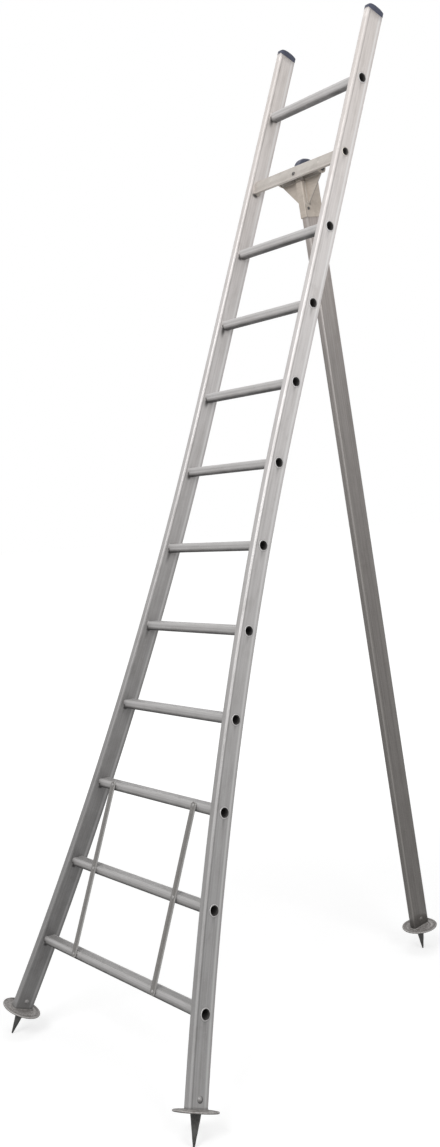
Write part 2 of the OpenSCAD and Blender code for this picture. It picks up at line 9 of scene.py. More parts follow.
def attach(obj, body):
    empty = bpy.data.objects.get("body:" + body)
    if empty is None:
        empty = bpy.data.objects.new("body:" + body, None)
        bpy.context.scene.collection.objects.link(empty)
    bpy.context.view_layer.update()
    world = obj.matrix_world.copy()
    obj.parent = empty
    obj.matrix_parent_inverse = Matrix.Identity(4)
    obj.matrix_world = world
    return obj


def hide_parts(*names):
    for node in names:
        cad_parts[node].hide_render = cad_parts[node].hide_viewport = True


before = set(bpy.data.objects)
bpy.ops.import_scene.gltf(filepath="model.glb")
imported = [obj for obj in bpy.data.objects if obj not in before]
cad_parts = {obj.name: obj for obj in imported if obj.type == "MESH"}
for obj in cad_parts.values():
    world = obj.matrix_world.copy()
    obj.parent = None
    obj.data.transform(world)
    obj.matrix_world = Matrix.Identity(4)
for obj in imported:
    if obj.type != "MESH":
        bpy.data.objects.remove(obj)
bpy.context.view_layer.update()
print("frame loaded:", len(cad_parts), "nodes")

mm = 0.001
turn = 2 * math.pi
sides = {"left": -1, "right": 1}
# points closer than this are one point, in metres
mergeGap = 2e-6


def unit(vectors):
    return vectors / np.linalg.norm(vectors, axis=-1, keepdims=True)


def bell(value, middle, width):
    # 1 at the middle, falling off on both sides as a normal curve
    return np.exp(-((value - middle) / width) ** 2)


def highest(*masks):
    return np.maximum.reduce(np.broadcast_arrays(*masks))


class Place:
    # an origin and three unit axes in the row frame
    def __init__(self, origin, x, y, z):
        self.origin = np.array(origin, float)
        self.axes = unit(np.array([x, y, z], float))

    def put(self, local):
        return self.origin + local @ self.axes

    def at(self, x, y, z):
        return Place(self.put(np.array([x, y, z], float)), *self.axes)

    def turned(self, x, y, z):
        # same origin, with new axes written in this place's own axes
        return Place(self.origin, *(np.array([x, y, z], float) @ self.axes))

    def sideways(self, side=1):
        # z points to the given side
        return self.turned((0, 1, 0), (0, 0, side), (side, 0, 0))

    def facing(self, front=1):
        # z points to the front, or to the back for -1
        return self.turned((1, 0, 0), (0, 0, front), (0, -front, 0))


# sizes are in millimetres; the ladder leans back, its own axes are across (u), up (s) and ahead (n)
ladder = dict(lean=20.6, shift=-580.727, lift=285.36, pitch=250.0, rungs=12, top=2982.0,
              halfSpacing=204.5, spreadStart=1702.0, spreadRadius=7856.0, endSlope=14.17642,
              width=25.0, depth=65.0, corner=7.0, wall=2.0)
leanSin, leanCos = math.sin(math.radians(ladder["lean"])), math.cos(math.radians(ladder["lean"]))
ladderPlace = Place((0, ladder["shift"], ladder["lift"]), (1, 0, 0),
                    (0, leanCos, -leanSin), (0, leanSin, leanCos))
straightLength = ladder["top"] - ladder["spreadStart"]
stileLength = straightLength + ladder["spreadRadius"] * math.radians(ladder["endSlope"])


def onLadder(u, s, n):
    return ladderPlace.put(np.stack(np.broadcast_arrays(u, -n, s), -1))


def stileSlope(s):
    # angle of the stile's centre line from straight up, in radians, at a height on the ladder
    return np.arcsin(np.maximum(ladder["spreadStart"] - s, 0) / ladder["spreadRadius"])


def stileX(s):
    # straight above the spread, one circle arc below it
    return ladder["halfSpacing"] + ladder["spreadRadius"] * (1 - np.cos(stileSlope(s)))


def stileAlong(s):
    # distance down the centre line from the stile's top to a height on the ladder
    return np.where(s > ladder["spreadStart"], ladder["top"] - s,
                    straightLength + ladder["spreadRadius"] * stileSlope(s))


def stilePoint(along, out, ahead, side):
    # centre line point, plus a step out along the section's own width and a step ahead
    bend = np.maximum(along - straightLength, 0) / ladder["spreadRadius"]
    x = ladder["halfSpacing"] + ladder["spreadRadius"] * (1 - np.cos(bend))
    s = np.where(along < straightLength, ladder["top"] - along,
                 ladder["spreadStart"] - ladder["spreadRadius"] * np.sin(bend))
    return onLadder(side * (x + out * np.cos(bend)), s + out * np.sin(bend), ahead)


def rungHeight(i):
    return (ladder["rungs"] - i) * ladder["pitch"]


def stileEnd(side):
    # foot of a stile: x out from the ladder, y to the back, z up the stile
    middle, outer = (stilePoint(stileLength, out, 0, side) for out in (0, 1))
    back = ladderPlace.axes[1]
    return Place(middle, outer - middle, back, np.cross(outer - middle, back) * side)


def stileTop(side):
    return Place(stilePoint(0, 0, 0, side), (side, 0, 0), *ladderPlace.axes[1:])


class Shell:
    # a grid of points with its lay (u round, v along, in metres), a mask of dirt and painted shade, a mask of
    # worn edges and painted highlights, and the quads that stay
    def __init__(self, points, lay=None, grimeAndShade=0.0, edge=0.0, keep=None):
        self.points = points
        rows, cols = points.shape[:2]
        self.lay = gridLay(points) if lay is None else lay
        self.grimeAndShade = np.broadcast_to(grimeAndShade, (rows, cols))
        self.edge = np.broadcast_to(edge, (rows, cols))
        self.keep = np.ones((rows - 1, cols - 1), bool) if keep is None else keep

    def flipped(self):
        # the same surface facing the other way
        return Shell(*(part[:, ::-1] for part in (self.points, self.lay, self.grimeAndShade, self.edge, self.keep)))

    def quads(self, start):
        # corner numbers of the quads that stay, counted from the given start
        index = start + np.arange(self.grimeAndShade.size).reshape(self.grimeAndShade.shape)
        return np.stack([index[:-1, :-1], index[:-1, 1:], index[1:, 1:], index[1:, :-1]], -1)[self.keep]


def gridLay(points):
    # length walked over the grid both ways, taken from its longest row and column
    def walk(axis):
        step = np.linalg.norm(np.diff(points, axis=axis), axis=-1)
        return np.concatenate([[0.0], np.cumsum(step.max(axis=1 - axis))]) * mm
    return np.stack(np.meshgrid(walk(1), walk(0)), -1)


def makePiece(name, shells, body, finish, replaces=(), sharp=35.0, wall=None, closed=True):
    # all grids in one mesh: quads between neighbours, seams and poles merged, one lay map, two masks
    starts = np.cumsum([0] + [shell.grimeAndShade.size for shell in shells])
    quads = np.concatenate([shell.quads(start) for shell, start in zip(shells, starts)])
    points = np.concatenate([shell.points.reshape(-1, 3) for shell in shells]) * mm
    lays = np.concatenate([shell.lay.reshape(-1, 2) for shell in shells])
    mesh = bpy.data.meshes.new(name)
    mesh.from_pydata(points.tolist(), [], quads.tolist())
    for key in ("grimeAndShade", "edge"):
        values = np.concatenate([getattr(shell, key).ravel() for shell in shells])
        mesh.attributes.new(key, "FLOAT", "POINT").data.foreach_set("value", values.astype(np.float32))
    layer = mesh.uv_layers.new(name="lay")
    layer.data.foreach_set("uv", lays[quads.ravel()].astype(np.float32).ravel())
    work = bmesh.new()
    work.from_mesh(mesh)
    bmesh.ops.remove_doubles(work, verts=work.verts, dist=mergeGap)
    bmesh.ops.dissolve_degenerate(work, edges=work.edges, dist=mergeGap / 2)
    loose = [v for v in work.verts if not v.link_faces]
    bmesh.ops.delete(work, geom=loose, context="VERTS")
    if closed:
        bmesh.ops.recalc_face_normals(work, faces=work.faces)
    work.to_mesh(mesh)
    work.free()
    mesh.shade_smooth()
    mesh.set_sharp_from_angle(angle=math.radians(sharp))
    mesh.materials.append(finish)
    piece = bpy.data.objects.new(name, mesh)
    bpy.context.scene.collection.objects.link(piece)
    if wall:
        solid = piece.modifiers.new("wall", "SOLIDIFY")
        solid.thickness, solid.offset, solid.use_even_offset = wall * mm, -1, True
    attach(piece, body)
    if replaces:
        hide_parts(*replaces)


def arcLine(centre, radius, start, end, steps):
    # points on a circle arc, angles in degrees
    a = np.radians(np.linspace(start, end, steps + 1))
    return np.c_[centre[0] + radius * np.cos(a), centre[1] + radius * np.sin(a)]


def roundedOutline(width, depth, corner, flatX, flatY, arc):
    # rectangle with round corners, once round from the low end of its +x side: flats, then quarter circles
    middle = np.array([width, depth]) / 2 - corner
    arcs = [arcLine(middle * sign, corner, 90 * k, 90 * k + 90, arc)
            for k, sign in enumerate([(1, 1), (-1, 1), (-1, -1), (1, -1)])]
    line, shine = [], []
    for k, bend in enumerate(arcs):
        flat = np.linspace(arcs[k - 1][-1], bend[0], (flatX if k % 2 else flatY) + 1)
        line += [flat, bend[1:-1]]
        # shine peaks in the middle of each corner arc: a painted highlight along the round corners
        shine += [np.zeros(len(flat)), np.sin(np.linspace(0, math.pi, arc + 1)[1:-1]) ** 2]
    line, shine = np.concatenate(line), np.concatenate(shine)
    return np.vstack([line, line[:1]]), np.append(shine, shine[0])


def walked(line):
    # distance along an outline, in metres
    return np.concatenate([[0.0], np.cumsum(np.linalg.norm(np.diff(line, axis=0), axis=1))]) * mm


def lathe(profile, place, steps=48, grimeAndShade=0.0, edge=0.0):
    # outline of (radius, height) points turned once about the place's z axis
    angle = np.linspace(0, turn, steps + 1)
    profile = np.asarray(profile, float)
    r, z = profile.T[..., None]
    local = np.stack(np.broadcast_arrays(r * np.cos(angle), r * np.sin(angle), z), -1)
    lay = np.stack(np.broadcast_arrays(angle * r.max() * mm, walked(profile)[:, None]), -1)
    return Shell(place.put(local), lay, np.reshape(grimeAndShade, (-1, 1)), np.reshape(edge, (-1, 1)))


weld = dict(radius=1.8, pitch=3.2, dirtAndShade=0.12, footRadius=3.2, footPitch=3.4, footDirt=0.4, footOut=1 / 60,
            footUp=0.35, ripple=0.22, level=0.6, steps=10, pathSteps=100, ringSteps=140)


def weldBead(path, normal, radius=weld["radius"], pitch=weld["pitch"], dirtAndShade=weld["dirtAndShade"]):
    # round bead along a path; its radius swells once in each pitch, open ends close to points
    tangent = unit(np.gradient(path, axis=0))
    first = unit(np.cross(tangent, normal))
    second = np.cross(tangent, first)
    swell = np.abs(np.sin(math.pi * walked(path) / mm / pitch)) - weld["level"]
    size = radius * (1 + weld["ripple"] * swell)[:, None, None]
    angle = np.linspace(0, turn, weld["steps"] + 1)[:, None]
    points = path[:, None] + size * (first[:, None] * np.cos(angle) + second[:, None] * np.sin(angle))
    if np.linalg.norm(path[0] - path[-1]) * mm > mergeGap:
        ends = np.repeat(path[[0, -1], None], len(angle), 1)
        points = np.concatenate([ends[:1], points, ends[1:]])
    return Shell(points, None, dirtAndShade)


rimSteps = 4
mitreLimit = 0.4


def plate(line, place, thick, soft, backShade=0.0):
    # flat plate from a closed outline in the place's x, y; its rim is a half round of the soft radius
    ahead = unit(np.roll(line, -1, 0) - line)
    mitre = unit(ahead + np.roll(ahead, 1, 0))
    area = np.sum(line[:, 0] * np.roll(line[:, 1], -1) - line[:, 1] * np.roll(line[:, 0], -1))
    # at sharp corners the step inwards grows with the mitre, up to a limit
    stretch = 1 / np.maximum(np.sum(mitre * ahead, axis=1), mitreLimit)
    inward = np.c_[-mitre[:, 1], mitre[:, 0]] * np.sign(area) * stretch[:, None]
    swing = np.linspace(0, math.pi / 2, rimSteps + 1)
    inset = soft * (1 - np.r_[np.sin(swing), np.cos(swing)])
    height = np.r_[soft * (np.cos(swing) - 1) + thick / 2, soft * (1 - np.sin(swing)) - thick / 2]
    rings = line + inward * inset[:, None, None]
    middles = np.repeat(rings[[0, -1]].mean(1, keepdims=True), len(line), 1)
    rings = np.concatenate([middles[:1], rings, middles[1:]])
    height = np.r_[thick / 2, height, -thick / 2][:, None]
    local = np.stack(np.broadcast_arrays(*np.moveaxis(rings, -1, 0), height), -1)
    local = np.concatenate([local, local[:, :1]], 1)
    # painted highlight over the rounded rim; with backShade the rear half of the rim takes a painted shadow
    # line instead
    shine = np.r_[0, np.sin(np.r_[swing, swing + math.pi / 2]) ** 2, 0]
    rear = np.r_[np.zeros(rimSteps + 2), np.ones(rimSteps + 1), 0]
    edge = shine * (1 - rear * (backShade > 0))
    return Shell(place.put(local), local[..., :2] * mm, (backShade * rear)[:, None], edge[:, None])


def outlinePlate(corners, radii, place, thick, soft, backShade=0.0):
    # plate with straight sides; each corner is a circle arc of its own radius between its two tangent points
    corners = np.asarray(corners, float)
    swing, share = np.linspace(0, 1, 9)[:, None], np.linspace(0, 1, 8)[1:-1, None]
    arcs = []
    for before, at, after, r in zip(np.roll(corners, 1, 0), corners, np.roll(corners, -1, 0), radii):
        toward, away = unit(before - at), unit(after - at)
        half = math.acos(np.clip(toward @ away, -1, 1)) / 2
        centre = at + unit(toward + away) * r / math.sin(half)
        chord = at + (toward * (1 - swing) + away * swing) * r / math.tan(half)
        arcs.append(centre + r * unit(chord - centre))
    runs = [arc[-1] * (1 - share) + after[0] * share for arc, after in zip(arcs, arcs[1:] + arcs[:1])]
    line = np.concatenate([part for pair in zip(arcs, runs) for part in pair])
    return plate(line, place, thick, soft, backShade)


def hexHead(place, across, height):
    # six-sided head: radius to the flat over the cosine of the angle, drawn in by a cone at the rim
    angle = np.linspace(0, turn, 61)
    hexagon = across / 2 / np.cos((angle + math.pi / 6) % (math.pi / 3) - math.pi / 6)
    limit = across / 2 * np.array([0, 1.2, 1.2, 1.2, 1.12, 0.98, 0.9, 0])[:, None]
    level = height * np.array([0, 0, 0.02, 0.82, 0.9, 0.98, 1.0, 1.0])[:, None]
    r = np.minimum(hexagon, limit)
    local = np.stack(np.broadcast_arrays(r * np.cos(angle), r * np.sin(angle), level), -1)
    return Shell(place.put(local), None, 0.0, np.r_[0, 0, 0, 0.3, 1, 1, 0.3, 0][:, None])


class Wire:
    # one socket of a shader tree; sums and products of wires add Math nodes
    def __init__(self, tree, socket=None):
        self.tree, self.socket = tree, socket

    def node(self, kind, settings=None, sockets=None, out=0):
        made = self.tree.nodes.new(kind)
        for key, value in (settings or {}).items():
            setattr(made, key, value)
        for key, value in (sockets or {}).items():
            if isinstance(value, Wire):
                self.tree.links.new(value.socket, made.inputs[key])
            else:
                made.inputs[key].default_value = value
        return Wire(self.tree, made.outputs[out] if made.outputs else None)

    def maths(self, operation, first, second):
        return self.node("ShaderNodeMath", {"operation": operation}, {0: first, 1: second})

    def __add__(self, other):
        return self.maths("ADD", self, other)

    def __radd__(self, other):
        return self.maths("ADD", other, self)

    def __sub__(self, other):
        return self.maths("SUBTRACT", self, other)

    def __rsub__(self, other):
        return self.maths("SUBTRACT", other, self)

    def __mul__(self, other):
        return self.maths("MULTIPLY", self, other)

    def __rmul__(self, other):
        return self.maths("MULTIPLY", other, self)

    def __pow__(self, other):
        return self.maths("POWER", self, other)

    def between(self, low, high):
        # 0 below low, 1 above high, eased in between
        return self.node("ShaderNodeMapRange", {"interpolation_type": "SMOOTHSTEP"},
                         {"Value": self, "From Min": low, "From Max": high})


def newFinish(name):
    material = bpy.data.materials.new(name)
    material.use_nodes = True
    material.node_tree.nodes.clear()
    return material, Wire(material.node_tree)


def mixed(wire, factor, first, second, blend="MIX"):
    first, second = (colour if isinstance(colour, Wire) else (*colour, 1) for colour in (first, second))
    return wire.node("ShaderNodeMix", {"data_type": "RGBA", "blend_type": blend},
                     {0: factor, 6: first, 7: second}, out=2)


def noise(wire, vector, scale, detail, rough):
    return wire.node("ShaderNodeTexNoise", None,
                     {"Vector": vector, "Scale": scale, "Detail": detail, "Roughness": rough})


def stretched(wire, vector, size):
    return wire.node("ShaderNodeMapping", None, {"Vector": vector, "Scale": size})


def objectPlace(wire):
    return wire.node("ShaderNodeTexCoord", out="Object")


def mask(wire, key):
    return wire.node("ShaderNodeAttribute", {"attribute_name": key}, out="Fac")


def bumped(wire, height, strength, distance):
    return wire.node("ShaderNodeBump", None, {"Height": height, "Strength": strength, "Distance": distance})


def surface(wire, sockets):
    shader = wire.node("ShaderNodeBsdfPrincipled", None, sockets)
    wire.node("ShaderNodeOutputMaterial", None, {"Surface": shader})


# ranges and shares that all drawn finishes have in common
drawn = dict(lines=(0.40, 0.60), fineShare=0.4, left=(-0.3, 0.3), top=(2.0, 3.0), blotch=(0.42, 0.70),
             patch=(0.55, 0.75), nick=(0.58, 0.74), pit=(0.56, 0.70), dirtAndShade=(0.04, 0.9), dirtRough=0.25,
             rubbedSmooth=0.06, relief=0.0006, ior=1.45)


def drawnMetal(name, look):
    # drawn light metal: lengthwise lines, blotches, duller low down, dirt and painted shade from the dark
    # mask, bright edges that are partly rubbed wear and partly painted highlight
    material, w = newFinish(name)
    where = objectPlace(w)
    along = w.node("ShaderNodeUVMap", {"uv_map": "lay"}) if look["lay"] else where
    fine = noise(w, stretched(w, along, look["fineLines"]), 1.0, 4.0, 0.6)
    broad = noise(w, stretched(w, along, look["broadLines"]), 1.0, 3.0, 0.55)
    blotch = noise(w, stretched(w, along, look["blotch"]), 1.0, 6.0, 0.62)
    patch = noise(w, where, look["patchScale"], 5.0, 0.6)
    speck = noise(w, where, look["speckScale"], 2.0, 0.5)
    across, height = (w.node("ShaderNodeSeparateXYZ", None, {0: where}, out=axis) for axis in "XZ")
    low = (1 - height.between(look["lowEnd"], look["highEnd"])) ** look["lowPower"]
    lines = (fine * drawn["fineShare"] + broad * (1 - drawn["fineShare"])).between(*drawn["lines"])
    colour = mixed(w, low, mixed(w, lines, look["dark"], look["light"]),
                   mixed(w, lines, look["lowDark"], look["lowLight"]))
    # painted shade on the left side, deepest low down
    tints = [(low * (1 - across.between(*drawn["left"])) * look["leftShade"], look["shadeTint"]),
             (height.between(*drawn["top"]), look["topTint"]),
             (blotch.between(*drawn["blotch"]) * look["blotchShare"], look["blotchTint"]),
             (patch.between(*drawn["patch"]) * look["patchShare"], look["patchTint"])]
    for share, tint in tints:
        colour = mixed(w, share, colour, tint, "MULTIPLY")
    bright = mixed(w, low, look["edge"], look["lowEdge"])
    # the edge mask holds rubbed wear and painted highlights alike
    wearAndHighlight = mask(w, "edge") * (0.45 + 0.75 * blotch)
    colour = mixed(w, wearAndHighlight * look["edgeShare"], colour, bright)
    colour = mixed(w, speck.between(*drawn["nick"]) * look["nickShare"], colour, bright)
    pits = (1 - speck).between(*drawn["pit"]) * look["nickShare"] * (0.4 + low * 0.6)
    colour = mixed(w, pits, colour, look["patchTint"], "MULTIPLY")
    # the dark mask holds dirt and painted shade alike
    dirtAndShade = (mask(w, "grimeAndShade") * (0.6 + 0.8 * patch)).between(*drawn["dirtAndShade"])
    colour = mixed(w, dirtAndShade * look["dirtAndShadeShare"], colour, look["dirtAndShade"])
    rough = look["rough"] + (fine - 0.5) * look["roughLines"] + (blotch - 0.5) * look["roughBlotch"]
    rough = rough + dirtAndShade * drawn["dirtRough"] - wearAndHighlight * drawn["rubbedSmooth"]
    relief = bumped(w, fine * look["lineRelief"] + speck * look["speckRelief"], look["bump"], drawn["relief"])
    surface(w, {"Base Color": colour, "Roughness": rough, "Metallic": look["metal"] * (1 - dirtAndShade),
                "Normal": relief, "IOR": drawn["ior"]})
    return material


stileLook = dict(
    lay=True, fineLines=(900, 2.2, 1), broadLines=(190, 0.9, 1), blotch=(60, 9, 1), patchScale=16,
    speckScale=330, dark=(0.685, 0.655, 0.645), light=(0.765, 0.735, 0.725),
    lowDark=(0.288, 0.282, 0.28), lowLight=(0.327, 0.321, 0.319), lowEnd=0.3, highEnd=2.8, lowPower=1.0,
    leftShade=0.45, shadeTint=(0.55, 0.55, 0.55), topTint=(1, 0.972, 0.946),
    blotchTint=(0.80, 0.79, 0.78), blotchShare=0.6, patchTint=(0.84, 0.83, 0.82), patchShare=0.5,
    edge=(0.90, 0.885, 0.885), lowEdge=(0.54, 0.535, 0.53), edgeShare=0.8, nickShare=0.2,
    dirtAndShade=(0.03, 0.028, 0.027), dirtAndShadeShare=0.92, rough=0.42, roughLines=0.16, roughBlotch=0.22,
    lineRelief=0.5, speckRelief=0.3, bump=0.12, metal=0.3)
# the same metal without the stiles' painted shade on the left and without their top tint
plainLook = dict(stileLook, leftShade=0.0, topTint=(1, 1, 1))
rungLook = dict(
    plainLook, fineLines=(2.5, 900, 1), broadLines=(1.2, 190, 1), blotch=(9, 70, 1),
    dark=(0.545, 0.528, 0.52), light=(0.655, 0.638, 0.63), lowDark=(0.36, 0.35, 0.346),
    lowLight=(0.46, 0.45, 0.446), edge=(0.80, 0.79, 0.785), lowEdge=(0.60, 0.59, 0.585),
    edgeShare=0.6, nickShare=0.3, dirtAndShadeShare=0.98, metal=0.2)
braceLook = dict(
    rungLook, fineLines=(900, 2.2, 1), broadLines=(190, 0.9, 1), lowDark=(0.185, 0.176, 0.168),
    lowLight=(0.25, 0.24, 0.23), lowEnd=0.9, highEnd=1.9, lowEdge=(0.52, 0.51, 0.50), edgeShare=0.9)
legLook = dict(
    plainLook, dark=(0.51, 0.47, 0.455), light=(0.62, 0.575, 0.557), lowDark=(0.128, 0.119, 0.111),
    lowLight=(0.172, 0.161, 0.151), lowEnd=0.1, highEnd=2.62, lowPower=0.22, topTint=(1.35, 1.26, 1.2),
    edge=(0.66, 0.63, 0.61), lowEdge=(0.34, 0.325, 0.31), edgeShare=0.6, nickShare=0.3, metal=0.22)
hingeLook = dict(
    plainLook, lay=False, fineLines=(3, 420, 420), broadLines=(2, 90, 90), blotch=(30, 30, 30),
    dark=(0.56, 0.494, 0.428), light=(0.615, 0.545, 0.477), lowEnd=-2, highEnd=-1,
    edge=(0.80, 0.75, 0.69), edgeShare=0.7, nickShare=0.3, metal=0.25)
beamLook = dict(hingeLook, dark=(0.52, 0.48, 0.44), light=(0.61, 0.57, 0.53))
weldLook = dict(
    hingeLook, dark=(0.46, 0.425, 0.385), light=(0.60, 0.565, 0.52), lowDark=(0.24, 0.228, 0.218),
    lowLight=(0.36, 0.345, 0.333), lowEnd=0.1, highEnd=2.0, dirtAndShadeShare=0.5, rough=0.46)
footLook = dict(
    stileLook, fineLines=(3, 700, 1), broadLines=(2, 120, 1), blotch=(150, 150, 1), lowEnd=5, highEnd=6,
    lowDark=(0.26, 0.245, 0.238), lowLight=(0.47, 0.452, 0.442), leftShade=0.0,
    blotchTint=(0.36, 0.33, 0.31), blotchShare=0.9, patchTint=(0.5, 0.45, 0.41), patchShare=0.7,
    lowEdge=(0.50, 0.485, 0.475), edgeShare=0.35, nickShare=0.8, patchScale=60, speckScale=220,
    rough=0.55, metal=0.15, bump=0.3)

stileMetal = drawnMetal("stileMetal", stileLook)
rungMetal = drawnMetal("rungMetal", rungLook)
braceMetal = drawnMetal("braceMetal", braceLook)
legMetal = drawnMetal("legMetal", legLook)
hingeMetal = drawnMetal("hingeMetal", hingeLook)
beamMetal = drawnMetal("beamMetal", beamLook)
weldMetal = drawnMetal("weldMetal", weldLook)
footMetal = drawnMetal("footMetal", footLook)

forged = dict(scale=(0.38, 0.66), rust=(0.58, 0.74), wornShare=0.6, roughScale=0.3, rustDull=0.4,
              scaleRelief=0.6, bump=0.35, relief=0.0008, ior=1.5)


def forgedSteel(name, look):
    # dark forged steel: scale patches, a little rust and soil, bright worn edges
    material, w = newFinish(name)
    where = objectPlace(w)
    scale = noise(w, where, look["scale"], 6.0, 0.65)
    pits = noise(w, where, look["pits"], 3.0, 0.6)
    rusty = pits.between(*forged["rust"])
    colour = mixed(w, scale.between(*forged["scale"]), look["dark"], look["light"])
    colour = mixed(w, rusty * look["rustShare"], colour, look["rust"])
    colour = mixed(w, mask(w, "edge") * forged["wornShare"], colour, look["worn"])
    height = scale * forged["scaleRelief"] + pits * (1 - forged["scaleRelief"])
    surface(w, {"Base Color": colour, "Roughness": look["rough"] + (scale - 0.5) * forged["roughScale"],
                "Metallic": look["metal"] - rusty * forged["rustDull"],
                "Normal": bumped(w, height, forged["bump"], forged["relief"]), "IOR": forged["ior"]})
    return material


spikeSteel = forgedSteel("spikeSteel", dict(
    scale=60, pits=190, dark=(0.02, 0.02, 0.019), light=(0.062, 0.06, 0.058), rust=(0.13, 0.08, 0.05),
    rustShare=0.3, worn=(0.17, 0.168, 0.165), rough=0.55, metal=0.3))
boltLook = dict(
    scale=120, pits=500, dark=(0.022, 0.022, 0.024), light=(0.065, 0.065, 0.068), rust=(0.12, 0.075, 0.05),
    rustShare=0.2, worn=(0.2, 0.2, 0.2), rough=0.45, metal=0.4)
boltSteel = forgedSteel("boltSteel", boltLook)
zincSteel = forgedSteel("zincSteel", dict(
    boltLook, dark=(0.06, 0.056, 0.052), light=(0.11, 0.104, 0.098), worn=(0.3, 0.29, 0.28), metal=0.3))
rivetMetal = forgedSteel("rivetMetal", dict(
    scale=160, pits=600, dark=(0.24, 0.232, 0.228), light=(0.33, 0.322, 0.317), rust=(0.14, 0.125, 0.115),
    rustShare=0.3, worn=(0.42, 0.41, 0.405), rough=0.42, metal=0.35))

moulded = dict(cloudScale=70, cloud=(0.3, 0.7), dust=(0.35, 0.7), roughCloud=0.2, bump=0.12, relief=0.0004,
               ior=1.49)


def mouldedPlastic(name, look):
    # moulded plastic: fine grain, dust on upward faces, rubbed pale edges
    material, w = newFinish(name)
    where = objectPlace(w)
    grain = w.node("ShaderNodeTexVoronoi", None, {"Vector": where, "Scale": look["grain"]})
    cloud = noise(w, where, moulded["cloudScale"], 4.0, 0.55)
    colour = mixed(w, cloud.between(*moulded["cloud"]), look["dark"], look["light"])
    colour = mixed(w, mask(w, "edge") * (0.3 + 0.6 * cloud), colour, look["wearAndHighlight"])
    colour = mixed(w, mask(w, "grimeAndShade") * cloud.between(*moulded["dust"]), colour, look["dust"])
    surface(w, {"Base Color": colour, "Roughness": look["rough"] + (cloud - 0.5) * moulded["roughCloud"],
                "Normal": bumped(w, grain, moulded["bump"], moulded["relief"]), "IOR": moulded["ior"]})
    return material


capPlastic = mouldedPlastic("capPlastic", dict(
    grain=1400, dark=(0.038, 0.044, 0.075), light=(0.062, 0.07, 0.112), wearAndHighlight=(0.20, 0.21, 0.27),
    dust=(0.22, 0.22, 0.25), rough=0.45))
darkNylon = mouldedPlastic("darkNylon", dict(
    grain=1800, dark=(0.02, 0.02, 0.022), light=(0.035, 0.035, 0.037), wearAndHighlight=(0.09, 0.09, 0.09),
    dust=(0.12, 0.115, 0.11), rough=0.5))
print("finishes made")

# outline steps of a box tube, the share of a corner that a hole may reach, and limits for rows and hole edges
tube = dict(flatX=4, arc=8, cornerShare=0.8, closest=0.05, onCircle=1e-4)


def tubeStations(length, coarse, holes, reach, step):
    # close rows beside each hole, wide rows elsewhere
    rows = [np.linspace(0, length, int(length / coarse) + 2)]
    rows += [np.arange(-reach, reach + step / 2, step) + at for at in holes]
    rows = np.unique(np.round(np.concatenate(rows), 3))
    rows = rows[(rows >= 0) & (rows <= length)]
    return rows[np.concatenate([[True], np.diff(rows) > tube["closest"]])]


def boxTube(rows, section, holes):
    # box-section outline carried down a line; points near a hole move onto its circle, quads inside it go
    width, depth, corner = section["width"], section["depth"], section["corner"]
    line, shine = roundedOutline(width, depth, corner, tube["flatX"], section["flat"], tube["arc"])
    along, out, ahead = np.broadcast_arrays(rows[:, None], *line.T)
    gone = np.zeros(along.shape, bool)
    for at, q, radius, wall in holes:
        onWall = (np.sign(out) == wall) & (np.abs(out) > width / 2 - tube["cornerShare"] * corner)
        reach = np.hypot(along - at, ahead - q)
        near = onWall & (np.abs(reach - radius) < section["snap"])
        pull = np.where(near, radius / np.maximum(reach, tube["onCircle"]), 1)
        along, ahead = at + (along - at) * pull, q + (ahead - q) * pull
        bow = np.clip(np.abs(ahead) - (depth / 2 - corner), 0, corner)
        out = np.where(near, wall * (width / 2 - corner + np.sqrt(corner ** 2 - bow ** 2)), out)
        gone |= onWall & (np.hypot(along - at, ahead - q) < radius + tube["onCircle"])
    keep = ~(gone[:-1, :-1] & gone[:-1, 1:] & gone[1:, 1:] & gone[1:, :-1])
    lay = np.stack(np.broadcast_arrays(walked(line), (rows * mm)[:, None]), -1)
    return along, out, ahead, keep, lay, np.broadcast_to(shine, along.shape)


footRivet = dict(up=27.0, radius=7.0, height=3.2, seat=0.1, dull=0.1)
stile = dict(hole=13.6, tieHole=11.1, tieDrop=3.0, tieAhead=3.0, beamRung=2, reach=18.0, step=2.25,
             coarse=40.0)
# marks on the stile walls: painted shade and highlight lines, painted shade round the foot rivet, rings round
# the holes, rain streaks and painted shade under the treads
stileWearAndShade = dict(shadeLine=24.0, shadeLineWidth=3.0, dark=0.38, rearCorner=-27.0, rearRun=3.0, rear=0.35,
                 highlightLine=-19.0, highlightLineWidth=3.6, innerStart=900.0, innerRun=1300.0, inner=0.33, corner=0.2,
                 footRun=16.0, foot=0.6, rivetShade=0.9, rivetWidth=2.0, rivetDown=1.5, ring=0.4, ringOut=3.2,
                 ringWidth=1.6, innerRing=0.6, streak=0.5, streakWidth=7.0, streakRun=22.0, shadeRun=6.0,
                 # shades inside: drop below the hole, then middle and width across the wall
                 rungShade=(16.0, 9.0, 8.0), beamShade=(36.0, 6.0, 11.0))
stileSection = dict(width=ladder["width"], depth=ladder["depth"], corner=ladder["corner"], flat=22, snap=1.35)


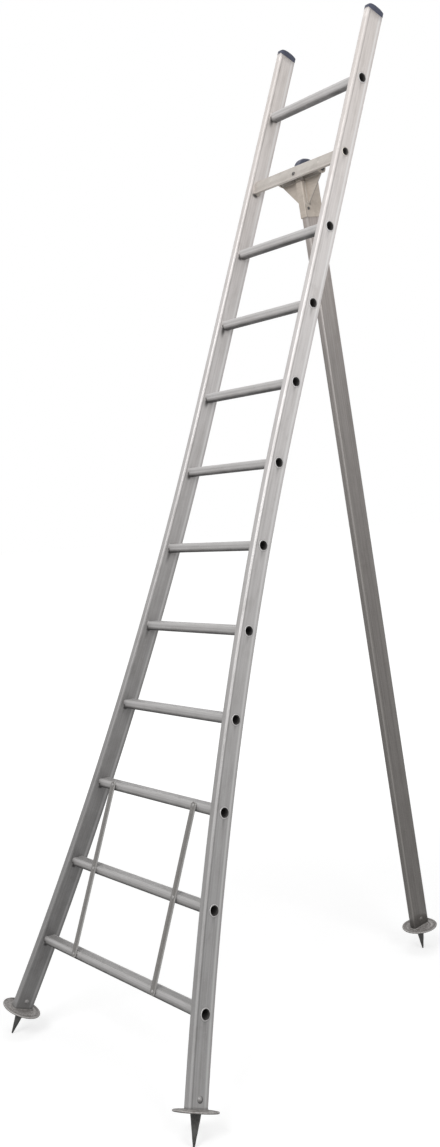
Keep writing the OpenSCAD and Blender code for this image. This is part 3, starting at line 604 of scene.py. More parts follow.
def stileShell(side):
    # holes sit on the level rung axis, so on each wall they shift along a slanted stile
    marks, half, rivetAt = stileWearAndShade, ladder["width"] / 2, stileLength - footRivet["up"]
    holes, centres = [], [rivetAt]
    for i in range(1, ladder["rungs"] + 1):
        atBeam = i == stile["beamRung"]
        s = rungHeight(i) - (stile["tieDrop"] if atBeam else 0)
        q, radius = (stile["tieAhead"], stile["tieHole"]) if atBeam else (0.0, stile["hole"])
        for wall in (-1, 1):
            at = float(stileAlong(s) + wall * half * np.tan(stileSlope(s)))
            holes.append((at, q, radius, wall))
            centres += [at, at + marks["beamShade"][0]] if atBeam and wall < 0 else [at]
    rows = tubeStations(stileLength, stile["coarse"], centres, stile["reach"], stile["step"])
    along, out, ahead, keep, lay, shine = boxTube(rows, stileSection, holes)
    # painted shade round the outer foot rivet, set down and back from it
    rivetFar = np.hypot(along - rivetAt - marks["rivetDown"], ahead + marks["rivetDown"])
    grimeAndShade = marks["rivetShade"] * bell(rivetFar, footRivet["radius"], marks["rivetWidth"]) * (out > half - 1)
    # broad walls: a painted shade line behind the front corner, a painted highlight line before the rear
    # corner, and painted shade over the rear corner
    broad = np.abs(out) > half - 3
    dull = marks["dark"] * bell(ahead, marks["shadeLine"], marks["shadeLineWidth"])
    dull = dull + marks["rear"] * np.clip((marks["rearCorner"] - ahead) / marks["rearRun"], 0, 1)
    # inner walls grow duller down the ladder
    ramp = np.clip((along - marks["innerStart"]) / marks["innerRun"], 0, 1)
    inner = marks["inner"] * ramp * ramp * (3 - 2 * ramp) * (out < 0)
    grimeAndShade = np.maximum(grimeAndShade, np.maximum(dull, inner) * broad)
    # bright: painted highlights on the corners and on the line before the rear corner, and lighter metal
    # close to the foot plate
    shine = highest(marks["corner"] * shine, bell(ahead, marks["highlightLine"], marks["highlightLineWidth"]) * broad,
                    marks["foot"] * np.exp((along - stileLength) / marks["footRun"]))
    for at, q, radius, wall in holes:
        far = np.hypot(along - at, ahead - q)
        ring = marks["ring"] * bell(far, radius + marks["ringOut"], marks["ringWidth"])
        if wall > 0:
            # a streak runs down from each open end
            fade = np.exp(-np.maximum(along - at - radius, 0) / marks["streakRun"])
            mark = marks["streak"] * bell(ahead, q, marks["streakWidth"]) * fade * (along > at)
        else:
            # shade under the tread or the beam
            drop, middle, width = marks["beamShade"] if q else marks["rungShade"]
            mark = bell(along, at + drop, marks["shadeRun"]) * bell(ahead, middle, width)
            ring = marks["innerRing"] * ring
        grimeAndShade = np.maximum(grimeAndShade, (np.sign(out) == wall) * np.maximum(ring, mark))
    shell = Shell(stilePoint(along, out, ahead, side), lay, grimeAndShade, shine, keep)
    return shell.flipped() if side < 0 else shell


for sideName, side in sides.items():
    makePiece("stileTube_" + sideName, [stileShell(side)], "ladder", stileMetal, ["stile_" + sideName],
              sharp=40, wall=ladder["wall"], closed=False)
print("stiles made")

rung = dict(depth=36.0, height=28.0, corner=6.0, under=13.0, wall=2.0, seat=0.1, shoulder=3.0, bore=11.5,
            spigot=13.5, grooves=5, groovePitch=4.2, grooveWidth=1.6, grooveDepth=0.7, grooveSlope=0.12,
            stations=(0, 0.3, 0.6, 0.8, 0.9, 0.95, 0.98, 0.993, 1.0),
            # the flared lip's rings: step out from the stile's face, and radius
            lip=((0, 15.9), (0.15, 16.45), (0.6, 16.4), (1.1, 15.9), (1.45, 15.2), (1.6, 14.3), (1.45, 13.4),
                 (0.9, 12.7), (-0.2, 12.0), (-2.5, 11.6)), lipDepth=7.0, brightRings=7,
            shadeUp=8.0, underShade=1.25, underShadeLess=0.7, underShadePower=1.3, grooveDirt=0.6, jointShade=0.9,
            jointStart=0.955, lipDirtAndBoreShade=0.15, rimShine=0.5, rimWidth=0.5, landShine=0.45, stepShine=0.35,
            stepWidth=130.0)


def rungOutline(inset, grooved):
    # walked from the front of the top: flat with shallow dips, small upper and wide lower corner arcs
    width, height = rung["depth"] - 2 * inset, rung["height"] - 2 * inset
    corner, under = rung["corner"] - inset, rung["under"] - inset
    middles = (np.arange(rung["grooves"]) - (rung["grooves"] - 1) / 2) * rung["groovePitch"]
    slope = rung["grooveSlope"]
    lips = np.array([-1 - slope, slope - 1, 1 - slope, 1 + slope]) * rung["grooveWidth"] / 2
    flat, base = width / 2 - corner, width / 2 - under
    across = np.r_[-flat, (middles[:, None] + lips).ravel(), flat]
    dips = np.r_[0, np.tile([0, 1, 1, 0], rung["grooves"]), 0]
    top = np.c_[across, height / 2 - rung["grooveDepth"] * dips * grooved]
    upright = np.linspace(under - height / 2, height / 2 - corner, 6)[1:-1]
    shoulder, bottom = height / 2 - corner, under - height / 2
    line = np.concatenate([
        top, arcLine((flat, shoulder), corner, 90, 0, 7)[1:], np.c_[np.full(4, width / 2), upright[::-1]],
        arcLine((base, bottom), under, 0, -90, 12), arcLine((-base, bottom), under, -90, -180, 12),
        np.c_[np.full(4, -width / 2), upright], arcLine((-flat, shoulder), corner, 180, 90, 7)[:-1], top[:1]])
    return line, np.r_[dips, np.zeros(len(line) - len(dips))]


def rungShell(i):
    # one closed skin: along the tread, through the stile, over the flared lip, down the bore and back inside
    s = rungHeight(i)
    slope = float(stileSlope(s))
    outer, dirtAndShade = rungOutline(0.0, True)
    inner, _ = rungOutline(rung["wall"], False)
    angle = np.arctan2(outer[:, 1], outer[:, 0])
    circle = np.c_[np.cos(angle), np.sin(angle)]
    reach = ladder["width"] / 2 + rung["seat"]
    hidden = -reach - rung["shoulder"]
    # rings inside the stile and outside it: how far out from the stile's middle, and the radius there
    lip = [(-reach, rung["spigot"]), (reach - rung["seat"], rung["spigot"])]
    lip += [(reach + out, radius) for out, radius in rung["lip"]]
    lip += [(reach - rung["lipDepth"], rung["bore"]), (hidden, rung["bore"])]
    stations = np.array(rung["stations"])

    def ring(shape, offset, share=1.0):
        # the slanted plane beside the stile cuts a section point further out the lower it sits
        up = shape[:, 0] * leanSin + shape[:, 1] * leanCos
        return np.c_[share * (stileX(s) + offset / math.cos(slope) - up * math.tan(slope)), shape]

    def mirrored(rows, flip=1):
        return np.concatenate([rows, rows[::-1][1:] * flip])

    rows = np.stack([ring(outer, -reach, share) for share in stations]
                    + [ring(circle * radius, offset) for offset, radius in lip]
                    + [ring(inner, hidden, share) for share in stations[::-1]])
    # painted shade underneath, on low rungs starting higher up their fronts; dirt in the dips; painted shade
    # on the lower ends beside the stile
    high = s / ladder["top"]
    start = rung["shadeUp"] * (1 - high) ** 2
    under = np.clip((start - outer[:, 1]) / (rung["height"] / 2 + start), 0, 1) ** rung["underShadePower"]
    under = (rung["underShade"] - rung["underShadeLess"] * high) * under
    joint = np.maximum(0, (stations - rung["jointStart"]) / (1 - rung["jointStart"]))[:, None]
    joint = rung["jointShade"] * joint * (outer[:, 1] < 2)
    # the outer lip takes a little dirt; the rings inside the stile and down the bore take full painted shade
    offset, radius = np.array(lip).T
    lipDirtAndBoreShade = np.where((offset > reach - 1) & (radius >= rung["spigot"]), rung["lipDirtAndBoreShade"], 1)
    hiddenShade = np.r_[lipDirtAndBoreShade, np.ones(len(stations))][:, None]
    grimeAndShade = np.concatenate([highest(rung["grooveDirt"] * dirtAndShade, under, joint),
                            np.repeat(hiddenShade, len(outer), 1)])
    # bright: painted highlights on the upper corners, rubbed wear on the lands between the dips, most of all
    # in the middle, and a bright lip
    middle = np.array([rung["depth"], rung["height"]]) / 2 - rung["corner"]
    rims = bell(np.hypot(*(np.abs(outer) - middle).T), rung["corner"], rung["rimWidth"]) * (outer[:, 1] > 0)
    lands = (outer[:, 1] > rung["height"] / 2 - 0.01) * (dirtAndShade < 0.5)
    trodden = rung["landShine"] + rung["stepShine"] * bell(rows[..., 0], 0, rung["stepWidth"])
    edge = rung["rimShine"] * rims + lands * trodden
    lipStart = len(stations) + 2
    edge[lipStart:lipStart + rung["brightRings"]] = 1.0
    points = mirrored(rows, np.array([-1, 1, 1]))
    lay = np.stack(np.broadcast_arrays(points[..., 0] * mm, walked(outer)), -1)
    return Shell(points + onLadder(0, s, 0), lay, mirrored(grimeAndShade), mirrored(edge))


for i in range(1, ladder["rungs"] + 1):
    if i != stile["beamRung"]:
        makePiece("treadRung_%02d" % i, [rungShell(i)], "ladder", rungMetal, ["rung_%02d" % i], sharp=30)
print("rungs made")

cap = dict(stileHeight=17.0, stileCrown=70.0, stileRound=3.5, legHeight=25.5, legDome=34.0, legRound=8.0,
           seat=0.1, lip=0.35, skirt=5.5, arch=0.3, proud=0.6, gap=0.05, shrink=0.97, steps=(8, 30, 8),
           edgeDrop=0.5, lowest=1.5, dust=0.3)


def capShell(place, section, height, domeY, domeX, skirt=0.0):
    # full height less a round drop towards each edge, the two drops joined as a root of squares
    width, depth, corner = section["width"], section["depth"], section["corner"]
    proud = cap["proud"] if skirt else 0.0
    wide, deep = width + 2 * proud, depth + 2 * proud
    line = roundedOutline(wide, deep, corner + proud, *cap["steps"])[0]
    inner = line * cap["shrink"]
    if skirt:
        inner = roundedOutline(width + 2 * cap["gap"], depth + 2 * cap["gap"], corner, *cap["steps"])[0]
    share = np.r_[0, np.sin(np.linspace(0.08, math.pi / 2, 22))]
    x, y = share[:, None] * line[:, 0], share[:, None] * line[:, 1]

    def drop(value, half, radius):
        over = np.clip(np.abs(value) - max(half - radius, 0), 0, radius)
        return radius - np.sqrt(np.maximum(radius ** 2 - over ** 2, 0))
    z = height - np.hypot(drop(x, wide / 2, domeX), drop(y, deep / 2, domeY))
    z = np.maximum(z - cap["edgeDrop"] * share[:, None] ** 2, cap["lip"] + cap["lowest"])
    # the skirt's lower edge arches up where the outline nears its middle
    base = cap["lip"] - skirt * (cap["arch"] + (1 - cap["arch"]) * (2 * np.abs(line[:, 0]) / wide) ** 4)
    seat = np.full(len(line), cap["seat"])
    rows = [(line, base + 1.0), (line, base + 0.5), (line, base)]
    rows += [(inner, base), (inner, seat), (line * 0, seat)]
    local = np.concatenate([np.stack([x, y, z], -1), np.stack([np.c_[row, level] for row, level in rows])])
    dust = np.r_[cap["dust"] * (1 - share ** 4), np.zeros(len(rows))]
    edge = np.r_[0.25 * bell(share, 0.9, 0.08), 0, 0.9, 0.9, 0.5, 0, 0]
    return Shell(place.put(local), None, dust[:, None], edge[:, None])


for sideName, side in sides.items():
    topShell = capShell(stileTop(side), stileSection, cap["stileHeight"], cap["stileCrown"],
                        cap["stileRound"], cap["skirt"])
    makePiece("topCap_" + sideName, [topShell], "ladder", capPlastic, ["stile_cap_" + sideName],
              sharp=50)

leg = dict(pin=(0, 313.612, 2609.29), tilt=7.3, width=25.0, depth=73.0, corner=7.0, wall=2.0, offset=19.0,
           above=28.0, below=2547.82, barrel=14.1, coarse=60.0, reach=19.0, step=2.4, sleeveEnd=131.0,
           sleeveShade=0.28, sleeveWidth=5.0, footShine=0.6, footRun=16.0)
legTilt = math.radians(leg["tilt"])
legPlace = Place(leg["pin"], (1, 0, 0),
                 (0, math.cos(legTilt), math.sin(legTilt)), (0, -math.sin(legTilt), math.cos(legTilt)))
legHead = legPlace.at(0, leg["offset"], leg["above"])
legFoot = legPlace.at(0, leg["offset"], -leg["below"])
legSection = dict(width=leg["width"], depth=leg["depth"], corner=leg["corner"], flat=24, snap=1.5)


def legShell():
    # straight box tube, with the barrel's hole near its front at the head
    length = leg["above"] + leg["below"]
    holes = [(leg["above"], -leg["offset"], leg["barrel"], wall) for wall in (-1, 1)]
    rows = tubeStations(length, leg["coarse"], [leg["above"]], leg["reach"], leg["step"])
    along, out, ahead, keep, lay, shine = boxTube(rows, legSection, holes)
    # painted shadow of the sleeve's lower rim on the leg
    grimeAndShade = leg["sleeveShade"] * bell(along, leg["above"] + leg["sleeveEnd"], leg["sleeveWidth"])
    shine = np.maximum(shine, leg["footShine"] * np.exp((along - length) / leg["footRun"]))
    return Shell(legHead.put(np.stack([out, ahead, -along], -1)), lay, grimeAndShade, shine, keep).flipped()


makePiece("legTube", [legShell()], "rear_leg", legMetal, ["support_leg"], sharp=40, wall=leg["wall"],
          closed=False)
headShell = capShell(legHead, legSection, cap["legHeight"], cap["legDome"], cap["legRound"])
makePiece("legHeadCap", [headShell], "rear_leg", capPlastic, ["leg_cap"], sharp=50)
print("leg and caps made")

foot = dict(radius=57.49, thick=3.0, rim=2.5, rimTurn=143, seat=0.1, hole=6.1, under=(20, 40, 52),
            # the dished top: radius, and depth below the flat
            dish=((52, 0.25), (44, 0.35), (34, 0.2), (24, 0), (14, 0)), rimShine=1.2, shineWidth=2.4,
            groove=53.5, grooveWidth=2.2, grooveDirt=0.7, plateUnderShade=0.55)


def footPlateShell(place):
    # turned plate: flat underside, rolled rim as most of a circle, shallow dished top
    top, low, hole = -foot["seat"], -foot["seat"] - foot["thick"], foot["hole"]
    middle = (top + low) / 2
    under = [(r, low) for r in (hole, *foot["under"])]
    rim = arcLine((foot["radius"], middle), foot["rim"], -foot["rimTurn"], foot["rimTurn"], 22)
    dish = [(r, top - dip) for r, dip in foot["dish"]]
    profile = np.concatenate([[(hole, top)], under, rim, dish, [(hole, top)]])
    r, z = profile.T
    # painted highlight on the upper half of the rolled rim, dirt in the groove, painted shade on the
    # underside
    edge = foot["rimShine"] * bell(r, foot["radius"] + foot["rim"], foot["shineWidth"]) * (z > middle)
    grimeAndShade = foot["grooveDirt"] * bell(r, foot["groove"], foot["grooveWidth"])
    return lathe(profile, place, 96, grimeAndShade + foot["plateUnderShade"] * (z < middle), edge)


spike = dict(top=3.2, length=82.0, radius=14.2, tip=2.5, collar=3.0,
             # the collar: share of the radius, and height
             collarLine=((0, 0), (0.92, 0), (0.99, -0.5), (1, -1.4), (0.98, -2.4)),
             hammer=0.22, hammerRound=3, hammerDown=0.225, hammerLow=3.0, hammerHigh=13.5)


def spikeShell(place):
    # forged point: straight taper to a small round tip, a turned collar at the plate, faint hammer waves
    top, tip = -spike["top"], spike["tip"]
    end = top - spike["length"]
    collar = np.array(spike["collarLine"]) * (spike["radius"], 1) + (0, top)
    body = np.linspace((spike["radius"], top - spike["collar"]), (tip, end + tip), 26)
    profile = np.concatenate([collar, body, arcLine((0, end + tip), tip, 0, -90, 6)[1:]])
    worn = np.r_[0, 0, 1, 0.6, 0, 0.35 * bell(np.linspace(0, 1, len(body)), 0.45, 0.2), np.ones(6)]
    shell = lathe(profile, place, 40, 0.0, worn)
    r, z = profile.T[..., None]
    angle = np.linspace(0, turn, 41)
    wave = spike["hammer"] * np.sin(spike["hammerRound"] * angle) * np.sin(spike["hammerDown"] * z)
    wave = wave * (r > spike["hammerLow"]) * (r < spike["hammerHigh"])
    dents = np.stack([wave * np.cos(angle), wave * np.sin(angle), 0 * wave], -1)
    shell.points = shell.points + dents @ place.axes
    return shell


def footWeld(place, section):
    # bead laid round a box tube where it meets its plate, half sunk in the corner
    line = roundedOutline(section["width"], section["depth"], section["corner"], 14, 60, 12)[0]
    path = np.c_[line * (1 + weld["footOut"]), np.full(len(line), weld["footUp"])]
    return weldBead(place.put(path), place.axes[2], weld["footRadius"], weld["footPitch"], weld["footDirt"])


def domeRivet(place, radius, height, shank, shine=1.0):
    # low spherical head on a short shank, with a painted highlight growing towards its crown
    sphere = (radius ** 2 + height ** 2) / (2 * height)
    reach = math.degrees(math.asin(radius / sphere))
    dome = arcLine((0, height - sphere), sphere, 90 - reach, 90, 9)
    below = [(0, -shank), (radius * 0.5, -shank), (radius * 0.5, 0), (radius * 0.96, 0)]
    edge = shine * np.r_[0, 0, 0, 0.4, np.linspace(0.2, 0.9, len(dome))]
    return lathe(np.concatenate([below, dome]), place, 28, 0.0, edge)


feet = {name: (stileEnd(side), stileSection) for name, side in sides.items()}
feet["leg"] = (legFoot, legSection)
for footName, (place, section) in feet.items():
    onLeg = footName == "leg"
    body = "rear_leg" if onLeg else "ladder"
    plateNode, spikeNode = "foot_plate_" + footName, "spike_" + footName
    if onLeg:
        plateNode, spikeNode = "leg_foot_plate", "leg_spike"
    makePiece("groundPlate_" + footName, [footPlateShell(place)], body, footMetal, [plateNode])
    makePiece("groundSpike_" + footName, [spikeShell(place)], body, spikeSteel, [spikeNode])
    makePiece("footWeld_" + footName, [footWeld(place, section)], body, weldMetal, sharp=60)
    half, heads = section["width"] / 2, []
    for wall in (-1, 1):
        head = place.at(wall * (half + footRivet["seat"]), 0, footRivet["up"]).sideways(wall)
        shine = 1.0 if wall > 0 and not onLeg else footRivet["dull"]
        heads.append(domeRivet(head, footRivet["radius"], footRivet["height"], half, shine))
    rivetNodes = {"leg": ["leg_foot_rivet"], "right": ["foot_rivets"], "left": []}[footName]
    makePiece("footRivet_" + footName, heads, body, legMetal if onLeg else rivetMetal, rivetNodes)
print("feet made")

brace = dict(spacing=402.0, width=20.0, back=20.1474, thick=4.5, soft=1.1, rungs=3, seat=0.1,
             rivetRadius=5.0, rivetHeight=2.2, shank=9.0, steps=24)


def bracePlace(side, up, ahead):
    return ladderPlace.at(side * brace["spacing"] / 2, -ahead, up).facing()


def braceShell(side):
    # flat bar with round ends and softened edges, standing ahead of the rungs
    length, r, steps = (brace["rungs"] - 1) * ladder["pitch"], brace["width"] / 2, brace["steps"]
    up = np.linspace(0, length, steps + 2)[1:-1]
    outline = np.concatenate([arcLine((0, 0), r, 180, 360, steps), np.c_[np.full(steps, r), up],
                              arcLine((0, length), r, 0, 180, steps), np.c_[np.full(steps, -r), up[::-1]]])
    place = bracePlace(side, 0, brace["back"] + brace["thick"] / 2)
    return plate(outline, place, brace["thick"], brace["soft"])


braceHeads = []
for sideName, side in sides.items():
    makePiece("braceBar_" + sideName, [braceShell(side)], "ladder", braceMetal, ["brace_" + sideName])
    for k in range(brace["rungs"]):
        place = bracePlace(side, k * ladder["pitch"], brace["back"] + brace["thick"] + brace["seat"])
        braceHeads.append(domeRivet(place, brace["rivetRadius"], brace["rivetHeight"], brace["shank"]))
makePiece("braceRivetHeads", braceHeads, "ladder", rivetMetal, ["brace_rivets"])
print("braces made")

beam = dict(middle=2486.5, height=44.0, front=14.5, web=3.0, lip=9.5, bend=3.2, innerBend=0.6, lipRound=1.5,
            half=191.9, cheek=5.0, cheekBack=10.0, cheekRound=4.0, soft=0.8, seat=0.1, notch=20.6,
            notchRows=(0, 0.4, 0.9, 2.0), notchCut=(2.6, 0.7), rows=(30, 60, 100, 140), bendShine=1.2,
            insideDark=0.5, tieHeight=2497.0, tieAhead=3.0, tieRadius=11.0, tieBore=9.2, tieFloor=2.0,
            stileFace=217.0,
            # the tie's rolled lip: radius, and step out from the stile's face
            tieLip=((13.3, 0.1), (13.95, 0.3), (13.9, 0.75), (13.4, 1.25), (12.7, 1.6), (11.8, 1.7),
                    (10.9, 1.5), (10.2, 0.9), (9.6, -0.2), (9.3, -2.5)), tieLipDepth=7.0)
beamPlace = ladderPlace.at(0, 0, beam["middle"])
beamEnd = beam["half"] - beam["cheek"] / 2


def channelShell():
    # open channel with round bends, run across the ladder; its upper lip is cut away over the leg
    front, back, top, r = -beam["front"], beam["lip"] - beam["front"], beam["height"] / 2, beam["bend"]
    inside, roof, ri, rl = front + beam["web"], top - beam["web"], beam["innerBend"], beam["lipRound"]
    upper = np.concatenate([
        [(front, 0), (front, top * 0.5)], arcLine((front + r, top - r), r, 180, 90, 8),
        arcLine((back - rl, top - rl), rl, 90, 0, 5), arcLine((back - rl, roof + rl), rl, 0, -90, 5),
        arcLine((inside + ri, roof - ri), ri, 90, 180, 4), [(inside, roof * 0.5)]])
    line = np.concatenate([upper, upper[::-1] * (1, -1), upper[:1]])
    notch = beam["notch"] + np.array(beam["notchRows"])
    half = np.r_[0, notch[0] / 2, notch, beam["rows"], beamEnd]
    x = np.concatenate([-half[:0:-1], half])
    cut = np.interp(np.abs(x), notch, [inside, *back - np.array(beam["notchCut"]), back])
    y = np.where(line[:, 1] > roof - 1, np.minimum(line[:, 0], cut[:, None]), line[:, 0])
    local = np.stack(np.broadcast_arrays(x[:, None], y, line[:, 1]), -1)
    ends = np.repeat(local[[0, -1]].mean(1, keepdims=True), len(line), 1)
    local = np.concatenate([ends[:1], local, ends[1:]])
    # painted highlight along the bends; darker on the inner faces
    bent = bell(np.abs(line[:, 1]), top - 1, beam["bendShine"]) * (line[:, 0] < back)
    grimeAndShade = beam["insideDark"] * (line[:, 0] > inside - 0.5) * (np.abs(line[:, 1]) < roof + 0.5)
    lay = np.stack(np.broadcast_arrays(local[..., 0] * mm, walked(line)), -1)
    return Shell(beamPlace.put(local), lay, grimeAndShade, bent)


def tieEndShell(side):
    # round spigot through the stile, rolled over outside into a flared lip, with a blind bore
    r, bore, face, floor = beam["tieRadius"], beam["tieBore"], beam["stileFace"], beamEnd + beam["tieFloor"]
    lip = [(radius, face + out) for radius, out in beam["tieLip"]]
    profile = [(0, beamEnd), (r, beamEnd), (r, face), *lip, (bore, face - beam["tieLipDepth"]), (bore, floor),
               (0, floor)]
    place = ladderPlace.at(0, -beam["tieAhead"], beam["tieHeight"]).sideways(side)
    # painted shade on the spigot and down the bore; bright rings over the rolled lip
    grimeAndShade = np.r_[0.5, 0.5, 0.4, 0.25, np.zeros(4), 0.5, np.ones(7)]
    return lathe(profile, place, 48, grimeAndShade, np.r_[np.zeros(4), np.ones(7), np.zeros(5)])


def boxCorners(left, right, low, high):
    return [(left, low), (right, low), (right, high), (left, high)]


beamShells = [channelShell()]
cheekCorners = boxCorners(-beam["front"], beam["cheekBack"], -beam["height"] / 2, beam["height"] / 2)
cheekRadii = [beam["bend"], beam["cheekRound"], beam["cheekRound"], beam["bend"]]
for side in sides.values():
    place = beamPlace.at(side * beamEnd, 0, 0).sideways()
    beamShells.append(outlinePlate(cheekCorners, cheekRadii, place, beam["cheek"], beam["soft"]))
    beamShells.append(tieEndShell(side))
makePiece("hingeChannel", beamShells, "ladder", beamMetal, ["hinge_beam"], sharp=40)

lug = dict(inner=90.3, thick=5.0, foot=32.0, footThick=4.0, footRound=3.0, radius=14.5, pinHeight=2490.0,
           pinBack=19.5, neck=4.0, rootHalf=10.0, soft=0.7, rivetOut=111.3, rivetRadius=5.25, frontHead=1.0,
           backHead=2.0, frontShank=8.0, backShank=1.0)
webBack = beam["web"] - beam["front"] + beam["seat"]
lugReach = (lug["thick"] + lug["foot"]) / 2
for sideName, side in sides.items():
    run = np.linspace(lug["pinBack"] - lug["neck"], webBack, 8)
    root = np.linspace(lug["rootHalf"], -lug["rootHalf"], 5)
    ear = np.concatenate([arcLine((lug["pinBack"], 0), lug["radius"], -90, 90, 24),
                          np.c_[run, np.full(8, lug["radius"])], np.c_[np.full(5, webBack), root],
                          np.c_[run[::-1], np.full(8, -lug["radius"])]])
    place = ladderPlace.at(side * (lug["inner"] + lug["thick"] / 2), 0, lug["pinHeight"])
    earShell = plate(ear, place.sideways(), lug["thick"], lug["soft"])
    place = ladderPlace.at(side * (lug["inner"] + lugReach), webBack + lug["footThick"] / 2, lug["pinHeight"])
    footCorners = boxCorners(-lugReach, lugReach, -lug["radius"], lug["radius"])
    footShell = outlinePlate(footCorners, [lug["footRound"]] * 4, place.facing(), lug["footThick"],
                             lug["soft"])
    makePiece("lugBracket_" + sideName, [earShell, footShell], "ladder", hingeMetal,
              ["hinge_lug_" + sideName])


def buttonHead(place, radius, height, socket):
    # low domed head with a round recess for the key
    rise, depth = height * 0.8, height * 0.45
    sphere = (radius ** 2 + rise ** 2) / (2 * rise)
    outer, inner = (90 - math.degrees(math.asin(r / sphere)) for r in (radius, socket))
    dome = arcLine((0, height - sphere), sphere, outer, inner, 8)
    dome[:, 1] = np.maximum(dome[:, 1], 0.1)
    profile = np.concatenate([[(0, 0), (radius * 0.94, 0), (radius, height * 0.08)], dome,
                              [(socket * 0.94, dome[-1, 1] - 0.25), (socket * 0.92, depth), (0, depth)]])
    edge = np.r_[0, 0, 0.8, 0.8, np.full(7, 0.25), 1.0, 0.2, 0, 0]
    return lathe(profile, place, 36, np.r_[np.zeros(len(profile) - 2), 1, 1], edge)


pin = dict(radius=6.0, right=95.4, headRadius=9.0, headHeight=6.0, socket=3.2, nut=18.2, nutThick=8.0,
           plainEnd=93.0, threadStart=94.0, threadEnd=105.4, thread=1.5, threadMean=0.18, threadDepth=0.3,
           chamfer=0.9, stopDrop=5.9, stopRadius=6.6, stopHeight=4.0, stopSocket=2.6)
pinPlace = ladderPlace.at(0, lug["pinBack"], lug["pinHeight"])
rightward, leftward = pinPlace.sideways(1), pinPlace.sideways(-1)


def shankShell():
    # plain shank, then thread turns as a wave along the last part, ending in a chamfer
    r, start, end = pin["radius"], -pin["right"] - 1, pin["threadEnd"]
    wave = np.arange(pin["threadStart"], end - 1, pin["thread"] / 4)
    thread = r - pin["threadMean"] - pin["threadDepth"] * np.cos(turn * wave / pin["thread"])
    profile = np.concatenate([[(0, start), (r, start), (r, pin["plainEnd"])], np.c_[thread, wave],
                              [(r - pin["chamfer"], end), (0, end)]])
    return lathe(profile, leftward, 36, 0.0, 0.3)


pinHead = buttonHead(rightward.at(0, 0, pin["right"]), pin["headRadius"], pin["headHeight"], pin["socket"])
makePiece("pinBolt", [shankShell(), pinHead], "ladder", boltSteel, ["hinge_pin"])
nutShell = hexHead(leftward.at(0, 0, pin["right"]), pin["nut"], pin["nutThick"])
makePiece("pinLockNut", [nutShell], "ladder", boltSteel, ["hinge_nut"])
frontward, backward = beamPlace.facing(1), beamPlace.facing(-1)
webFront = beam["front"] + beam["seat"]
stopHead = buttonHead(frontward.at(0, -pin["stopDrop"], webFront), pin["stopRadius"], pin["stopHeight"],
                      pin["stopSocket"])
makePiece("stopBolt", [stopHead], "ladder", zincSteel, ["stop_bolt"])
lugHeads = []
for side in sides.values():
    out, r = side * lug["rivetOut"], lug["rivetRadius"]
    behind = backward.at(out, 0, webBack + lug["footThick"] + beam["seat"])
    lugHeads += [domeRivet(frontward.at(out, 0, webFront), r, lug["frontHead"], lug["frontShank"]),
                 domeRivet(behind, r, lug["backHead"], lug["backShank"])]
makePiece("lugRivetHeads", lugHeads, "ladder", beamMetal, ["lug_rivets"])

bracket = dict(barrel=14.0, barrelHalf=88.0, bore=10.3, chamfer=0.8, boreChamfer=0.9, plateThick=5.0,
               inner=14.7, top=14.1, corner=16.5, drop=93.0, soft=0.7, rimShade=0.6, plateRound=0.8,
               sleeveHalf=14.6, sleeveDepth=77.2, sleeveCorner=4.0, sleeveTop=17.0,
               sleeveBottom=leg["sleeveEnd"], wall=2.0, tongueTop=6.0, tongueRound=3.0, tongueSoft=0.5,
               bolt=104.0, boltAhead=6.0, boltRadius=4.95, boltHeight=4.0, boltSocket=2.0, seat=0.1,
               weldGap=0.5, ringOut=12.9, ringRadius=14.3)
barrel, barrelEnd, bore = bracket["barrel"], bracket["barrelHalf"], bracket["bore"]
# half of the barrel's outline: radius, place along it, painted shade (the beam's shadow and the dark bore),
# and wear
halfBarrel = np.array([
    (barrel, 20, 0.6, 0), (barrel, 60, 0.5, 0), (barrel, barrelEnd - bracket["chamfer"], 0.4, 1),
    (barrel - bracket["chamfer"], barrelEnd, 0.4, 1), (bore + bracket["boreChamfer"], barrelEnd, 0.6, 1),
    (bore, barrelEnd - 1, 1, 0)])
barrelLine = np.concatenate([halfBarrel[::-1] * (1, -1, 1, 1), halfBarrel, halfBarrel[-1:] * (1, -1, 1, 1)])
barrelShell = lathe(barrelLine[:, :2], legPlace.sideways(), 56, *barrelLine.T[2:])
makePiece("hingeBarrelTube", [barrelShell], "rear_leg", hingeMetal, ["hinge_barrel"])
frontLeg = legPlace.facing()
gussetCorners = np.array([(bracket["inner"], -bracket["top"]), (bracket["inner"], -bracket["drop"]),
                          (barrelEnd, -bracket["corner"]), (barrelEnd, -bracket["top"])])
for sideName, side in sides.items():
    # each gusset's rear rim takes a painted shadow line
    gussetShell = outlinePlate(gussetCorners * (side, 1), [bracket["plateRound"]] * 4,
                               frontLeg.at(0, 0, bracket["plateThick"] / 2), bracket["plateThick"],
                               bracket["soft"], bracket["rimShade"])
    makePiece("gussetPlate_" + sideName, [gussetShell], "rear_leg", hingeMetal, ["gusset_" + sideName])

sleeveWearAndShade = dict(overlap=4.0, foldShade=0.35, foldIn=0.5, foldWidth=0.9, shade=0.6, shadeBack=4.0, shadeWidth=4.0,
                  rim=0.3, rimWidth=2.0, corner=0.25, litStrip=0.8)


